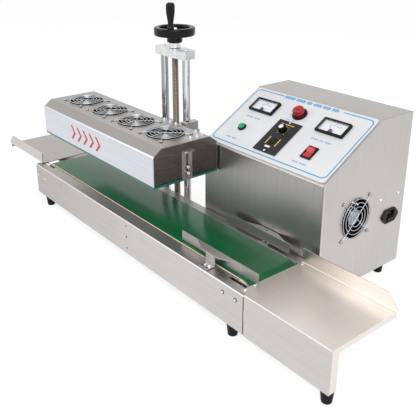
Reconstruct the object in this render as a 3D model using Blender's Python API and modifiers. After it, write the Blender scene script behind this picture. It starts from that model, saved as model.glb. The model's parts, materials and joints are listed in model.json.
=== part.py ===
"""Table-top induction cap sealer: a belt conveyor, a height-adjustable sealing head and a control cabinet.

Metres, +Z up. The floor is z = 0, +X is the way the bottles travel and the operator stands at -Y.
The origin is on the floor, under the middle of the whole machine.
"""

import math

import bmesh
import bpy
from mathutils import Matrix, Vector

# ---------------------------------------------------------------- sheet metal and fits
SHEET = 0.0015  # wall of every folded sheet
BEND = 0.0025  # outer radius of a fold
SEAT = 0.0003  # gap between two parts that rest on each other
RUNNING = 0.0001  # radial gap of a shaft that turns in a bore
CUT_REACH = 0.01  # how far a cutter goes past the wall it opens
LAP = 0.0001  # how far a joined piece sits inside the skin of the one it joins
FOLD_STEPS = 3
ROUND_STEPS = 24

# ---------------------------------------------------------------- conveyor base
BASE_L = 0.755
BASE_W = 0.163
BASE_H = 0.075
BASE_FOOT_H = 0.024
BASE_FLANGE = 0.027  # top flange in front of the belt
BASE_RETURN = 0.026  # flange under the panels, where the feet sit
PANEL_SLOT_L = 0.045
PANEL_SLOT_W = 0.006

# ---------------------------------------------------------------- belt and rollers
BELT_W = 0.112
BELT_T = 0.002
BELT_RISE = 0.002  # belt surface above the flanges
BELT_SIDE_GAP = 0.001
ROLLER_BELT_R = 0.025  # inner radius of the belt loop
ROLLER_INSET = 0.034  # roller axis from the end of the base
SHAFT_R = 0.006
BLOCK_L = 0.044
BLOCK_H = 0.030
BLOCK_GAP = 0.0012  # bearing block to roller
BED_STEP = 0.0135  # height of the slider bed above its shoulders
BED_SIDE_L = 0.015
BED_END_GAP = 0.005

# ---------------------------------------------------------------- infeed and outfeed trays
TRAY_L = 0.182
TRAY_INSET = 0.012  # back lip of a tray inside the edge of the base
TRAY_TONGUE = 0.012  # part of the tray that lies on the base
TRAY_LIP_H = 0.026
TRAY_END_H = 0.010
TRAY_LEG_W = 0.016
TRAY_FOOT_PAD = 0.0255
TRAY_PAD_TRIM = (0.010, 0.008)  # corner cut off the pad, along X and Y
TRAY_GAP = 0.002  # base end to tray skirt
TRAY_CHAMFER = 0.014

# ---------------------------------------------------------------- feet
FOOT_TOP_R = 0.0115
FOOT_BOTTOM_R = 0.0085
FOOT_INSET_X = 0.038
FOOT_INSET_Y = 0.013
CAB_FOOT_H = 0.030
CAB_FOOT_INSET = 0.024

# ---------------------------------------------------------------- bottle guides
GUIDE_H = 0.019
GUIDE_LIFT = 0.002  # guide edge above the belt
FRONT_GUIDE_L = 0.204
REAR_GUIDE_L = 0.168
GUIDE_BEFORE_ROLLER = 0.0735  # middle of the guide brackets before the drive roller
FRONT_GUIDE_LEAD = 0.100  # start of the guide before its bracket
REAR_GUIDE_LEAD = 0.104
GUIDE_HOLE_AT = 0.45  # hole in the tab, as a share of its depth
FRONT_GUIDE_IN = 0.0093  # face of the guide inside the front edge of the belt
REAR_GUIDE_OUT = 0.0087  # face of the guide outside the rear edge of the belt
GUIDE_TAB_ROOT = 0.110
GUIDE_TAB_TIP = 0.044
FRONT_TAB_D = 0.0155
REAR_TAB_D = 0.0115
GUIDE_BRACKET_W = 0.024
GUIDE_FOOT_D = 0.0155
GUIDE_SLOT_W = 0.0045
GUIDE_SLOT_L = 0.011
GUIDE_HOLE_R = 0.0022

# ---------------------------------------------------------------- sealing head
HEAD_L = 0.441
HEAD_W = 0.151
HEAD_X = -0.0985
HEAD_GAP = 0.0925  # belt to the underside of the head at rest
HEAD_H = 0.0765
HEAD_CHAMFER_W = 0.019
HEAD_CHAMFER_H = 0.014
BOARD_T = 0.004
FAN_COUNT = 4
FAN_PITCH = 0.103

# ---------------------------------------------------------------- fans
FAN_SIZE = 0.080
FAN_DEPTH = 0.020
FAN_BORE_R = 0.038
FAN_SCREW_PITCH = 0.0715
FAN_SCREW_R = 0.0018
FAN_SCREW_GAP = 0.0005
FAN_HUB_R = 0.0165
FAN_BLADES = 7
FAN_STRUT_W = 0.004
FAN_STRUT_T = 0.003
FAN_BLADE_W = 0.014
FAN_BLADE_T = 0.0012
FAN_BLADE_TILT = math.radians(35)
GUARD_WIRE = 0.0011
GUARD_LIFT = 0.0030  # guard wires above the sheet
GUARD_RINGS = (0.0150, 0.0225, 0.0300, 0.0375)
GUARD_STEPS = 20

# ---------------------------------------------------------------- induction coil
COIL_TURNS = 4
COIL_WIRE_R = 0.0035
COIL_PITCH = 0.0095
COIL_STRAIGHT = 0.290
COIL_INNER_R = 0.014

# ---------------------------------------------------------------- height gauge on the head
GAUGE_W = 0.024
GAUGE_H = 0.061
GAUGE_T = 0.002
GAUGE_LIP = 0.012
GAUGE_SLOT_W = 0.0048
GAUGE_SLOT_LOW = 0.0105  # slot ends above the lower edge
GAUGE_SLOT_HIGH = 0.0525
GAUGE_LIFT = 0.002  # gauge above the underside of the head
STUD_R = 0.002
STUD_HEAD_R = 0.0042
STUD_HEAD_T = 0.0025
STUD_PITCH = 0.012
STUD_REST = 0.0035  # lower stud above the end of the slot

# ---------------------------------------------------------------- column
COLUMN_TO_CABINET = 0.125
COLUMN_BACK = 0.021  # rod axis behind the base
ROD_R = 0.008
ROD_PITCH = 0.076
ROD_FIT = 0.00015
CAP_L = 0.102
CAP_W = 0.034
CAP_H = 0.017
CAP_CORNER = 0.006
CAP_TOP = 0.410
CAP_SKIN = 0.004  # metal left over the rods
SCREW_R = 0.007
COLUMN_FOOT_Z = 0.035
COLUMN_FOOT_H = 0.030
COLUMN_FOOT_FLOOR = 0.005  # metal under the rods
CARRIAGE_L = 0.136
CARRIAGE_H = 0.066
CARRIAGE_TOP = 0.266
CARRIAGE_BACK = 0.016  # metal behind the rod axis

# ---------------------------------------------------------------- handwheel
COLLAR_R = 0.012
COLLAR_H = 0.0112
WHEEL_R = 0.0425
WHEEL_RIM_W = 0.0115
WHEEL_RIM_H = 0.017
RIM_EDGE = 0.003
WHEEL_RIM_LIFT = 0.0145  # rim above the lower end of the hub
HUB_R = 0.016
HUB_H = 0.024
HUB_BORE_R = 0.0062
JOURNAL_L = 0.015  # end of the screw inside the hub
SPOKE_W = 0.013
SPOKE_H = 0.007
SPOKE_COUNT = 3
CRANK_ANGLE = math.radians(-48)
CRANK_SPINDLE_R = 0.003
CRANK_H = 0.0525
CRANK_TOP_R = 0.009
CRANK_NECK_R = 0.0055

# ---------------------------------------------------------------- control cabinet
CAB_PAST_SHAFT = 0.0465  # right wall past the drive shaft
CAB_W = 0.310
CAB_D = 0.235
CAB_BASE_GAP = 0.0006  # cabinet front to the back of the base
CAB_FRONT_TOP = 0.2465
CAB_TOP = 0.333
CAB_SLOPE_D = 0.146
WINDOW_RIM = 0.018
SIDE_FAN_Y = 0.092
SIDE_FAN_Z = 0.1615
VENT_COUNT = 6
VENT_L = 0.110
VENT_W = 0.004
VENT_PITCH = 0.012
VENT_LIFT = 0.045  # lowest vent above the cabinet floor
SHAFT_HOLE_R = 0.009

# ---------------------------------------------------------------- control plate
# Places are (x, y) from the lower left corner of the slope.
PLATE_T = 0.002
PLATE_RIM = 0.004
PLATE_CORNER = 0.006
CUT_GAP = 0.0005
METER_W = 0.062
METER_H = 0.034
METER_PROUD = 0.008
METER_CAN = (0.054, 0.027, 0.026)
METER_PLACES = ((0.064, 0.1195), (CAB_W - 0.070, 0.1180))
METER_DIAL = (0.050, 0.024, 0.005)
NEEDLE_L = 0.0165
NEEDLE_REST = math.radians(42)
NEEDLE_HUB_R = 0.0022
LAMP_PLACE = (CAB_W / 2 - 0.003, 0.126)
LAMP_R = 0.015
LAMP_LENS_R = 0.0125
LAMP_H = 0.017
LAMP_BARREL_R = 0.011
BUTTON_PLACE = (0.057, 0.056)
BUTTON_R = 0.0065
BUTTON_H = 0.0065
DRIVE_UNIT_PLACE = (CAB_W / 2 - 0.0043, 0.0605)
DRIVE_UNIT = (0.056, 0.082, 0.0025)
DRIVE_CAN = (0.050, 0.070, 0.040)
KNOB_UP = 0.017  # knob above the middle of the drive unit
KNOB_R = 0.008
KNOB_H = 0.012
KNOB_PIN_R = 0.003
KNOB_BORE_L = 0.010
RUN_DOWN = 0.013  # switch below the middle of the drive unit
RUN_ROCKER = (0.009, 0.014, 0.005)
POWER_PLACE = (CAB_W - 0.073, 0.0515)
POWER_ROCKER = (0.0165, 0.0215, 0.007)
POWER_BEZEL = (0.0225, 0.0285, 0.0025)
ROCKER_TILT = math.radians(10)
ROCKER_GAP = 0.0007
ROCKER_PROUD = 0.0022
POCKET_DEPTH = 0.0085

# ---------------------------------------------------------------- mains inlet and gear motor
INLET_Y = 0.194
INLET_Z = 0.1365
INLET_W = 0.028
INLET_H = 0.027
INLET_EAR = 0.0095
INLET_T = 0.003
INLET_CAN = (0.024, 0.022, 0.026)
INLET_SOCKET = (0.021, 0.012, 0.014)
MOTOR_BOX = 0.080
MOTOR_BOX_D = 0.050
MOTOR_R = 0.036
MOTOR_L = 0.085
MOTOR_STANDOFF = 0.012
MOTOR_BORE_L = 0.030
MOTOR_FOOT_T = 0.0052
MOTOR_BOX_LIFT = 0.0022  # gear box above the underside of its foot
MOTOR_FOOT_EDGE = 0.002  # foot past the gear box

# ---------------------------------------------------------------- places worked out from the sizes above
DEPTH = BASE_W + CAB_BASE_GAP + CAB_D
FRONT_Y = -DEPTH / 2
REAR_Y = FRONT_Y + BASE_W
BASE_TOP = BASE_FOOT_H + BASE_H
BELT_TOP = BASE_TOP + BELT_RISE
ROLLER_Z = BELT_TOP - BELT_T - ROLLER_BELT_R
ROLLER_X = BASE_L / 2 - ROLLER_INSET
TRAY_W = BASE_W - TRAY_INSET
GUIDE_X = ROLLER_X - GUIDE_BEFORE_ROLLER
BELT_Y0 = FRONT_Y + BASE_FLANGE + BELT_SIDE_GAP
BELT_Y = BELT_Y0 + BELT_W / 2
BELT_Y1 = BELT_Y0 + BELT_W
REAR_FLANGE = REAR_Y - BELT_Y1 - BELT_SIDE_GAP
CAB_X1 = ROLLER_X + CAB_PAST_SHAFT
CAB_X0 = CAB_X1 - CAB_W
COLUMN_X = CAB_X0 - COLUMN_TO_CABINET
COLUMN_Y = REAR_Y + COLUMN_BACK
HEAD_Z = BELT_TOP + HEAD_GAP
HEAD_TOP = HEAD_Z + HEAD_H
HEAD_Y0 = BELT_Y - HEAD_W / 2
HEAD_Y1 = BELT_Y + HEAD_W / 2
HEAD_X0 = HEAD_X - HEAD_L / 2
HEAD_X1 = HEAD_X + HEAD_L / 2
HUB_Z = CAP_TOP + SEAT + COLLAR_H
RIM_Z = HUB_Z + WHEEL_RIM_LIFT
CAB_Y0 = REAR_Y + CAB_BASE_GAP
CAB_Y1 = CAB_Y0 + CAB_D
CAB_Z = CAB_FOOT_H
SLOPE_RISE = CAB_TOP - CAB_FRONT_TOP
SLOPE_ANGLE = math.atan2(SLOPE_RISE, CAB_SLOPE_D)
SLOPE_L = math.hypot(SLOPE_RISE, CAB_SLOPE_D)
PLATE_TOP = SEAT + PLATE_T
ON_PLATE = PLATE_TOP + SEAT

CORNERS = ((1, 1), (-1, 1), (-1, -1), (1, -1))
ALONG = {"X": (0, math.pi / 2, 0), "Y": (-math.pi / 2, 0, 0), "Z": (0, 0, 0)}


def clear_scene():
    for old in list(bpy.data.objects):
        bpy.data.objects.remove(old, do_unlink=True)


def new_collection(name, hidden=False):
    collection = bpy.data.collections.new(name)
    collection.hide_render = hidden
    bpy.context.scene.collection.children.link(collection)
    return collection


clear_scene()
PARTS = new_collection("induction_cap_sealer")
CUTTERS = new_collection("cutters", hidden=True)


# ---------------------------------------------------------------- materials
def material(name, colour, roughness, metallic=0.0):
    found = bpy.data.materials.get(name)
    if found:
        return found
    made = bpy.data.materials.new(name)
    made.use_nodes = True
    shader = made.node_tree.nodes["Principled BSDF"]
    shader.inputs["Base Color"].default_value = (*colour, 1)
    shader.inputs["Roughness"].default_value = roughness
    shader.inputs["Metallic"].default_value = metallic
    made.diffuse_color = (*colour, 1)
    return made


def steel(name):
    return material(name + "_steel", (0.62, 0.60, 0.57), 0.35, 1.0)


def dark_plastic(name):
    return material(name + "_black", (0.02, 0.02, 0.022), 0.45)


# ---------------------------------------------------------------- building blocks
def place(obj, location, rotation=(0, 0, 0), parent=None):
    obj.location = location
    obj.rotation_euler = rotation
    obj.parent = parent
    return obj


def add_object(name, data, look=None):
    obj = bpy.data.objects.new(name, data)
    PARTS.objects.link(obj)
    if look:
        data.materials.append(look)
    return obj


def mesh_object(name, shape, look=None):
    mesh = bpy.data.meshes.new(name)
    shape.to_mesh(mesh)
    shape.free()
    return add_object(name, mesh, look)


def box(name, low, high, look=None, bevel=0.0):
    """A block between two corners, given in the object's own frame."""
    size = Vector(high) - Vector(low)
    shape = bmesh.new()
    bmesh.ops.create_cube(shape, size=1.0)
    bmesh.ops.scale(shape, vec=size, verts=shape.verts)
    bmesh.ops.translate(shape, vec=Vector(low) + size / 2, verts=shape.verts)
    obj = mesh_object(name, shape, look)
    if bevel:
        soften(obj, bevel)
    return obj


def rod(name, radius, low, high, look=None, axis="Z", steps=ROUND_STEPS, top_radius=None):
    """A cylinder or cone frustum from low to high along one axis through the object's origin."""
    shape = bmesh.new()
    bmesh.ops.create_cone(
        shape,
        cap_ends=True,
        segments=steps,
        radius1=radius,
        radius2=radius if top_radius is None else top_radius,
        depth=high - low,
    )
    bmesh.ops.translate(shape, vec=(0, 0, (low + high) / 2), verts=shape.verts)
    bmesh.ops.rotate(shape, matrix=turn(axis), verts=shape.verts)
    return shade_round(mesh_object(name, shape, look))


def turn(axis):
    x, y, _ = ALONG[axis]
    return Matrix.Rotation(y, 3, "Y") @ Matrix.Rotation(x, 3, "X")


def shade_round(obj):
    obj.data.shade_smooth()
    obj.data.set_sharp_from_angle(angle=math.radians(35))
    return obj


def turned(name, profile, look=None, axis="Z", steps=ROUND_STEPS, closed=False):
    """A profile of (radius, height) points, top to bottom down its outer side, turned about an axis."""
    shape = bmesh.new()
    points = [shape.verts.new((radius, 0, height)) for radius, height in profile]
    for start, end in zip(points, points[1:]):
        shape.edges.new((start, end))
    if closed:
        shape.edges.new((points[-1], points[0]))
    obj = mesh_object(name, shape, look)
    screw = obj.modifiers.new("turn", "SCREW")
    screw.axis = "Z"
    screw.steps = steps
    screw.render_steps = steps
    screw.use_merge_vertices = True
    screw.merge_threshold = 0.00001
    screw.use_smooth_shade = True
    baked = bake(obj)
    baked.data.transform(turn(axis).to_4x4())
    return shade_round(baked)


def plate(name, outline, thickness, look=None, holes=(), axis="Z"):
    """A flat outline, given as (x, y) points, with its thickness centred on the object's origin."""
    curve = bpy.data.curves.new(name, "CURVE")
    curve.dimensions = "2D"
    curve.fill_mode = "BOTH"
    curve.extrude = thickness / 2
    for loop in (outline, *holes):
        spline = curve.splines.new("POLY")
        spline.points.add(len(loop) - 1)
        spline.use_cyclic_u = True
        for point, (x, y) in zip(spline.points, loop):
            point.co = (x, y, 0, 1)
    obj = bake(add_object(name, curve, look))
    if axis == "X":
        obj.data.transform(Matrix(((0, 0, 1), (1, 0, 0), (0, 1, 0))).to_4x4())
    return obj


def tube(name, points, radius, look=None, cyclic=False, sides=4):
    """A wire of the given radius along a list of points."""
    curve = bpy.data.curves.new(name, "CURVE")
    curve.dimensions = "3D"
    curve.bevel_depth = radius
    curve.bevel_resolution = (sides - 4) // 2
    curve.use_fill_caps = True
    spline = curve.splines.new("POLY")
    spline.points.add(len(points) - 1)
    spline.use_cyclic_u = cyclic
    for point, place_at in zip(spline.points, points):
        point.co = (*place_at, 1)
    return bake(add_object(name, curve, look))


def folded_sheet(name, path, start, end, look=None, thickness=SHEET, bend=BEND):
    """A strip that follows a path of (y, z) points and runs along X. The metal lies right of the path."""
    shape = bmesh.new()
    points = [shape.verts.new((start, y, z)) for y, z in path]
    edges = [shape.edges.new(pair) for pair in zip(points, points[1:])]
    swept = bmesh.ops.extrude_edge_only(shape, edges=edges)["geom"]
    moved = [item for item in swept if isinstance(item, bmesh.types.BMVert)]
    bmesh.ops.translate(shape, vec=(end - start, 0, 0), verts=moved)
    shape.normal_update()
    run = Vector(path[1]) - Vector(path[0])
    outward = Vector((0, -run.y, run.x))
    first = min(shape.faces, key=lambda face: (face.calc_center_median().yz - Vector(path[0])).length)
    if first.normal.dot(outward) < 0:
        bmesh.ops.reverse_faces(shape, faces=shape.faces)
    obj = mesh_object(name, shape, look)
    fold = obj.modifiers.new("folds", "BEVEL")
    fold.width = bend
    fold.segments = FOLD_STEPS
    fold.limit_method = "ANGLE"
    fold.angle_limit = math.radians(10)
    wall = obj.modifiers.new("wall", "SOLIDIFY")
    wall.thickness = thickness
    wall.offset = -1
    wall.use_even_offset = True
    return obj


def bake(obj):
    """Replaces an object by a plain mesh of what its modifiers, or its curve, make."""
    bpy.context.view_layer.update()
    evaluated = obj.evaluated_get(bpy.context.evaluated_depsgraph_get())
    mesh = bpy.data.meshes.new_from_object(evaluated)
    if obj.type == "CURVE":
        shape = bmesh.new()
        shape.from_mesh(mesh)
        bmesh.ops.remove_doubles(shape, verts=shape.verts, dist=0.000001)
        shape.to_mesh(mesh)
        shape.free()
    name = obj.name
    made = bpy.data.objects.new("baked", mesh)
    made.matrix_world = obj.matrix_world
    bpy.data.objects.remove(obj, do_unlink=True)
    PARTS.objects.link(made)
    made.name = name
    mesh.name = name
    return made


def combine(target, other, operation):
    """Cuts other from target or joins it on, and keeps other as a hidden helper."""
    step = target.modifiers.new(other.name, "BOOLEAN")
    step.operation = operation
    step.solver = "EXACT"
    step.object = other
    other.hide_render = True
    other.display_type = "WIRE"
    PARTS.objects.unlink(other)
    CUTTERS.objects.link(other)
    return target


def cut(target, *others):
    for other in others:
        combine(target, other, "DIFFERENCE")
    return target


def join(target, *others):
    for other in others:
        combine(target, other, "UNION")
    return target


def soften(obj, width, segments=2):
    edge = obj.modifiers.new("soft_edges", "BEVEL")
    edge.width = width
    edge.segments = segments
    edge.limit_method = "ANGLE"
    edge.angle_limit = math.radians(40)
    return obj


def copies(first, name, places, **placing):
    """Finishes a repeated piece: one object for each place, all sharing the first one's mesh."""
    made = bake(first)
    mesh = made.data
    bpy.data.objects.remove(made, do_unlink=True)
    found = []
    for number, where in enumerate(places, start=1):
        obj = bpy.data.objects.new(f"{name}_{number}", mesh)
        PARTS.objects.link(obj)
        found.append(place(obj, where, **placing))
    return found


def rounded(width, height, corner, steps=3):
    """The outline of a rectangle about the origin with round corners."""
    points = []
    for number, (sx, sy) in enumerate(CORNERS):
        for step in range(steps + 1):
            angle = math.radians(90 * (number + step / steps))
            x = sx * (width / 2 - corner) + corner * math.cos(angle)
            y = sy * (height / 2 - corner) + corner * math.sin(angle)
            points.append((x, y))
    return points


def circle(radius, steps=ROUND_STEPS, centre=(0, 0)):
    angles = [2 * math.pi * step / steps for step in range(steps)]
    return [(centre[0] + radius * math.cos(a), centre[1] + radius * math.sin(a)) for a in angles]


def block(name, size, centre=(0, 0, 0), look=None, bevel=0.0):
    half = Vector(size) / 2
    middle = Vector(centre)
    return box(name, middle - half, middle + half, look, bevel)


def slot(name, width, length, centre, depth, along="X"):
    """A cutter for a slot with round ends, through a level sheet."""
    outline = rounded(length, width, width / 2 - 0.00001)
    if along == "Y":
        outline = [(-y, x) for x, y in outline]
    return place(plate(name, outline, depth), centre)


# ---------------------------------------------------------------- conveyor base
def base_front_panel():
    path = [
        (FRONT_Y + BASE_RETURN, BASE_FOOT_H),
        (FRONT_Y, BASE_FOOT_H),
        (FRONT_Y, BASE_TOP),
        (FRONT_Y + BASE_FLANGE, BASE_TOP),
    ]
    panel = folded_sheet("base_front_panel", path, -BASE_L / 2, BASE_L / 2, steel("base"))
    slot_y = FRONT_Y + BASE_FLANGE - PANEL_SLOT_W
    for number, x in enumerate((-ROLLER_X, ROLLER_X)):
        centre = (x, slot_y, BASE_TOP)
        cutter = slot(f"panel_slot_{number}", PANEL_SLOT_W, PANEL_SLOT_L, centre, CUT_REACH)
        cut(panel, cutter)


def base_rear_panel():
    path = [
        (REAR_Y - REAR_FLANGE, BASE_TOP),
        (REAR_Y, BASE_TOP),
        (REAR_Y, BASE_FOOT_H),
        (REAR_Y - BASE_RETURN, BASE_FOOT_H),
    ]
    panel = folded_sheet("base_rear_panel", path, -BASE_L / 2, BASE_L / 2, steel("base"))
    hole = rod("rear_shaft_hole", SHAFT_HOLE_R, -CUT_REACH, CUT_REACH, axis="Y")
    cut(panel, place(hole, (ROLLER_X, REAR_Y, ROLLER_Z)))


def slider_bed():
    front = FRONT_Y + SHEET + SEAT
    rear = REAR_Y - SHEET - SEAT
    top = BELT_TOP - BELT_T - SEAT
    shoulder = top - BED_STEP
    side = BELT_SIDE_GAP + SHEET
    path = [
        (front, shoulder - BED_SIDE_L),
        (front, shoulder),
        (BELT_Y0 + side, shoulder),
        (BELT_Y0 + side, top),
        (BELT_Y1 - side, top),
        (BELT_Y1 - side, shoulder),
        (rear, shoulder),
        (rear, shoulder - BED_SIDE_L),
    ]
    half = ROLLER_X - ROLLER_BELT_R - BED_END_GAP
    folded_sheet("slider_bed", path, -half, half, steel("bed"))


def conveyor_belt():
    """A loop with round ends about the two roller axes."""

    def loop(radius):
        points = []
        for side, centre in ((1, ROLLER_X), (-1, -ROLLER_X)):
            for step in range(13):
                angle = math.radians(-90 + 180 * step / 12)
                points.append((centre + side * radius * math.cos(angle), side * radius * math.sin(angle)))
        return points

    look = material("belt_green", (0.02, 0.20, 0.09), 0.35)
    belt = plate("conveyor_belt", loop(ROLLER_BELT_R + BELT_T), BELT_W, look, holes=(loop(ROLLER_BELT_R),))
    place(belt, (0, BELT_Y, ROLLER_Z), (math.pi / 2, 0, 0))


def bearing_block(name, x, y0, y1):
    iron = material("bearing_iron", (0.20, 0.21, 0.22), 0.5, 0.6)
    obj = block(name, (BLOCK_L, y1 - y0, BLOCK_H), look=iron)
    bore = rod(name + "_bore", SHAFT_R + RUNNING, -0.03, 0.03, axis="Y")
    where = (x, (y0 + y1) / 2, ROLLER_Z)
    cut(place(obj, where), place(bore, where))


def bearing_blocks():
    front = (FRONT_Y + SHEET + SEAT, BELT_Y0 - BLOCK_GAP)
    rear = (BELT_Y1 + BLOCK_GAP, REAR_Y - SHEET - SEAT)
    bearing_block("bearing_front_left", -ROLLER_X, *front)
    bearing_block("bearing_front_right", ROLLER_X, *front)
    bearing_block("bearing_rear_left", -ROLLER_X, *rear)
    bearing_block("bearing_rear_right", ROLLER_X, *rear)


def roller(name, x, tail):
    """A belt roller with a shaft out of both ends; tail is how far the rear shaft goes past the belt."""
    body = ROLLER_BELT_R - SEAT
    half = BELT_W / 2
    nose = BELT_Y0 - FRONT_Y - SHEET - 2 * SEAT
    rim = 0.0015
    profile = [
        (0, half + tail),
        (SHAFT_R, half + tail),
        (SHAFT_R, half),
        (body - rim, half),
        (body, half - rim),
        (body, -half + rim),
        (body - rim, -half),
        (SHAFT_R, -half),
        (SHAFT_R, -half - nose),
        (0, -half - nose),
    ]
    obj = turned(name, profile, material("roller_steel", (0.55, 0.55, 0.56), 0.3, 1.0), axis="Y")
    place(obj, (x, BELT_Y, ROLLER_Z))


def rollers():
    roller("idler_roller", -ROLLER_X, REAR_Y - SHEET - 2 * SEAT - BELT_Y1)
    roller("drive_roller", ROLLER_X, CAB_Y0 + SHEET + MOTOR_STANDOFF + MOTOR_BORE_L - BELT_Y1 - 0.002)


# ---------------------------------------------------------------- trays
def tray(name, rotation):
    """A shelf at the belt's level with a front skirt and leg, a lip at the back and a foot pad."""
    top = BASE_TOP + SEAT + SHEET
    start = BASE_L / 2 - TRAY_TONGUE
    skirt_x = BASE_L / 2 + TRAY_GAP
    end = BASE_L / 2 + TRAY_L
    front = -BASE_W / 2
    back = front + TRAY_W - SHEET
    into = SHEET / 2
    path = [(front, BASE_FOOT_H), (front, top), (back, top), (back, top + TRAY_LIP_H)]
    shelf = folded_sheet(name, path, start, end, steel("tray"))
    inner = end - SHEET
    outer = end - LAP
    leg_top = (outer, front + TRAY_LEG_W, top - into)
    leg = box(name + "_leg", (inner, front + into, BASE_FOOT_H + into), leg_top)
    lip = box(name + "_end_lip", (inner, front + into, top - TRAY_END_H), (outer, back - into, top - into))
    trim_x, trim_y = TRAY_PAD_TRIM
    outline = [
        (-TRAY_FOOT_PAD, into),
        (-into, into),
        (-into, TRAY_FOOT_PAD - trim_y),
        (-trim_x, TRAY_FOOT_PAD),
        (-TRAY_FOOT_PAD, TRAY_FOOT_PAD),
    ]
    pad = plate(name + "_pad", outline, SHEET - LAP)
    place(pad, (end, front, BASE_FOOT_H + (SHEET + LAP) / 2))
    low = (start - CUT_REACH, front - CUT_REACH, 0)
    over_base = box(name + "_clear", low, (skirt_x, front + BEND + SHEET, top + CUT_REACH))
    corner = block(name + "_corner", (TRAY_CHAMFER * 2, 0.02, TRAY_CHAMFER * 2))
    place(corner, (end, back, top + TRAY_LIP_H), (0, math.radians(45), 0))
    join(shelf, leg, lip, pad)
    cut(shelf, over_base, corner)
    made = bake(shelf)
    made.data.transform(Matrix.Rotation(rotation, 4, "Z"))
    return place(made, (0, FRONT_Y + BASE_W / 2, 0))


def trays():
    tray("outfeed_tray", 0)
    tray("infeed_tray", math.pi)


# ---------------------------------------------------------------- feet
def foot(name, x, y, height):
    obj = rod(
        name,
        FOOT_BOTTOM_R,
        0,
        height - SEAT,
        material("foot_rubber", (0.015, 0.015, 0.016), 0.7),
        top_radius=FOOT_TOP_R,
        steps=20,
    )
    place(obj, (x, y, 0))


def feet():
    inset_x = BASE_L / 2 - FOOT_INSET_X
    tray_x = BASE_L / 2 + TRAY_L - FOOT_INSET_Y
    foot("foot_base_left", -inset_x, FRONT_Y + FOOT_INSET_Y, BASE_FOOT_H)
    foot("foot_base_right", inset_x, FRONT_Y + FOOT_INSET_Y, BASE_FOOT_H)
    foot("foot_outfeed", tray_x, FRONT_Y + FOOT_INSET_Y, BASE_FOOT_H)
    foot("foot_infeed", -tray_x, REAR_Y - FOOT_INSET_Y, BASE_FOOT_H)
    foot("foot_cabinet_left", CAB_X0 + CAB_FOOT_INSET, CAB_Y1 - CAB_FOOT_INSET, CAB_FOOT_H)
    foot("foot_cabinet_right", CAB_X1 - CAB_FOOT_INSET, CAB_Y1 - CAB_FOOT_INSET, CAB_FOOT_H)


# ---------------------------------------------------------------- bottle guides
def guide(name, lead, length, face_y, side, tab_depth):
    """An upright strip with a tab on top and a slotted bracket that stands on the base flange.

    side is -1 for the front guide and +1 for the rear one: the way the tab points.
    """
    low = BELT_TOP + GUIDE_LIFT
    top = low + GUIDE_H
    floor = BASE_TOP + SEAT
    look = steel("guide")
    thin = sorted((0, side * SHEET))
    strip = box(name, (-lead, thin[0], low), (length - lead, thin[1], top), look)
    root = GUIDE_TAB_ROOT / 2
    tip = GUIDE_TAB_TIP / 2
    inner = side * SHEET / 2
    outer = side * (SHEET + tab_depth)
    outline = [(-root, inner), (root, inner), (tip, outer), (-tip, outer)]
    if side > 0:
        outline.reverse()
    hole = circle(GUIDE_HOLE_R, 12, (0, side * (SHEET + tab_depth * GUIDE_HOLE_AT)))
    tab = place(plate(name + "_tab", outline, SHEET, holes=(hole,)), (0, 0, top - SHEET / 2 - LAP))
    upright_out = outer - side * 4 * LAP
    half = GUIDE_BRACKET_W / 2
    near, far = sorted((upright_out - side * SHEET, upright_out))
    upright = box(name + "_upright", (-half, near, floor), (half, far, top - SHEET / 2))
    foot_y = upright_out - GUIDE_FOOT_D
    foot_plate = box(name + "_foot", (-half, foot_y, floor), (half, upright_out, floor + SHEET))
    middle = upright_out - (GUIDE_FOOT_D + SHEET) / 2
    join(strip, tab, upright, foot_plate)
    for number, x in enumerate((-half / 2, half / 2)):
        centre = (x, middle, floor)
        cut(strip, slot(f"{name}_slot_{number}", GUIDE_SLOT_W, GUIDE_SLOT_L, centre, 4 * SHEET, "Y"))
    made = bake(strip)
    place(made, (GUIDE_X, face_y, 0))


def guides():
    guide("guide_front", FRONT_GUIDE_LEAD, FRONT_GUIDE_L, BELT_Y0 + FRONT_GUIDE_IN, -1, FRONT_TAB_D)
    guide("guide_rear", REAR_GUIDE_LEAD, REAR_GUIDE_L, BELT_Y1 + REAR_GUIDE_OUT, 1, REAR_TAB_D)


# ---------------------------------------------------------------- sealing head
def inset(outline, gap):
    """A convex outline, listed anticlockwise, moved in by a gap on every side."""
    lines = []
    for start, end in zip(outline, (*outline[1:], outline[0])):
        run = (Vector(end) - Vector(start)).normalized()
        lines.append((Vector(start) + Vector((-run.y, run.x)) * gap, run))
    corners = []
    for (point, run), (other, way) in zip((lines[-1], *lines), lines):
        reach = (other - point).cross(way) / run.cross(way)
        corners.append(tuple(point + run * reach))
    return corners


def head_outline():
    """The head's cross-section above its board, as (y, z), anticlockwise from the lower front corner."""
    low = HEAD_Z + BOARD_T + SEAT
    shoulder = HEAD_TOP - HEAD_CHAMFER_H
    return [
        (HEAD_Y0, low),
        (HEAD_Y1, low),
        (HEAD_Y1, shoulder),
        (HEAD_Y1 - HEAD_CHAMFER_W, HEAD_TOP),
        (HEAD_Y0 + HEAD_CHAMFER_W, HEAD_TOP),
        (HEAD_Y0, shoulder),
    ]


def head_fan_places():
    first = HEAD_X - FAN_PITCH * (FAN_COUNT - 1) / 2
    return [(first + FAN_PITCH * number, BELT_Y, HEAD_TOP) for number in range(FAN_COUNT)]


def fan_openings(name, places, axis):
    """Cutters for the round opening and the four screw holes of each fan."""
    half = FAN_SCREW_PITCH / 2
    found = []
    for number, where in enumerate(places):
        tools = [rod(f"{name}_opening_{number}", FAN_BORE_R, -CUT_REACH, CUT_REACH)]
        for corner, (sx, sy) in enumerate(CORNERS):
            label = f"{name}_hole_{number}_{corner}"
            hole = rod(label, FAN_SCREW_R + FAN_SCREW_GAP, -CUT_REACH, CUT_REACH, steps=12)
            hole.data.transform(Matrix.Translation((sx * half, sy * half, 0)))
            tools.append(hole)
        found += [place(tool, where, ALONG[axis]) for tool in tools]
    return found


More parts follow.
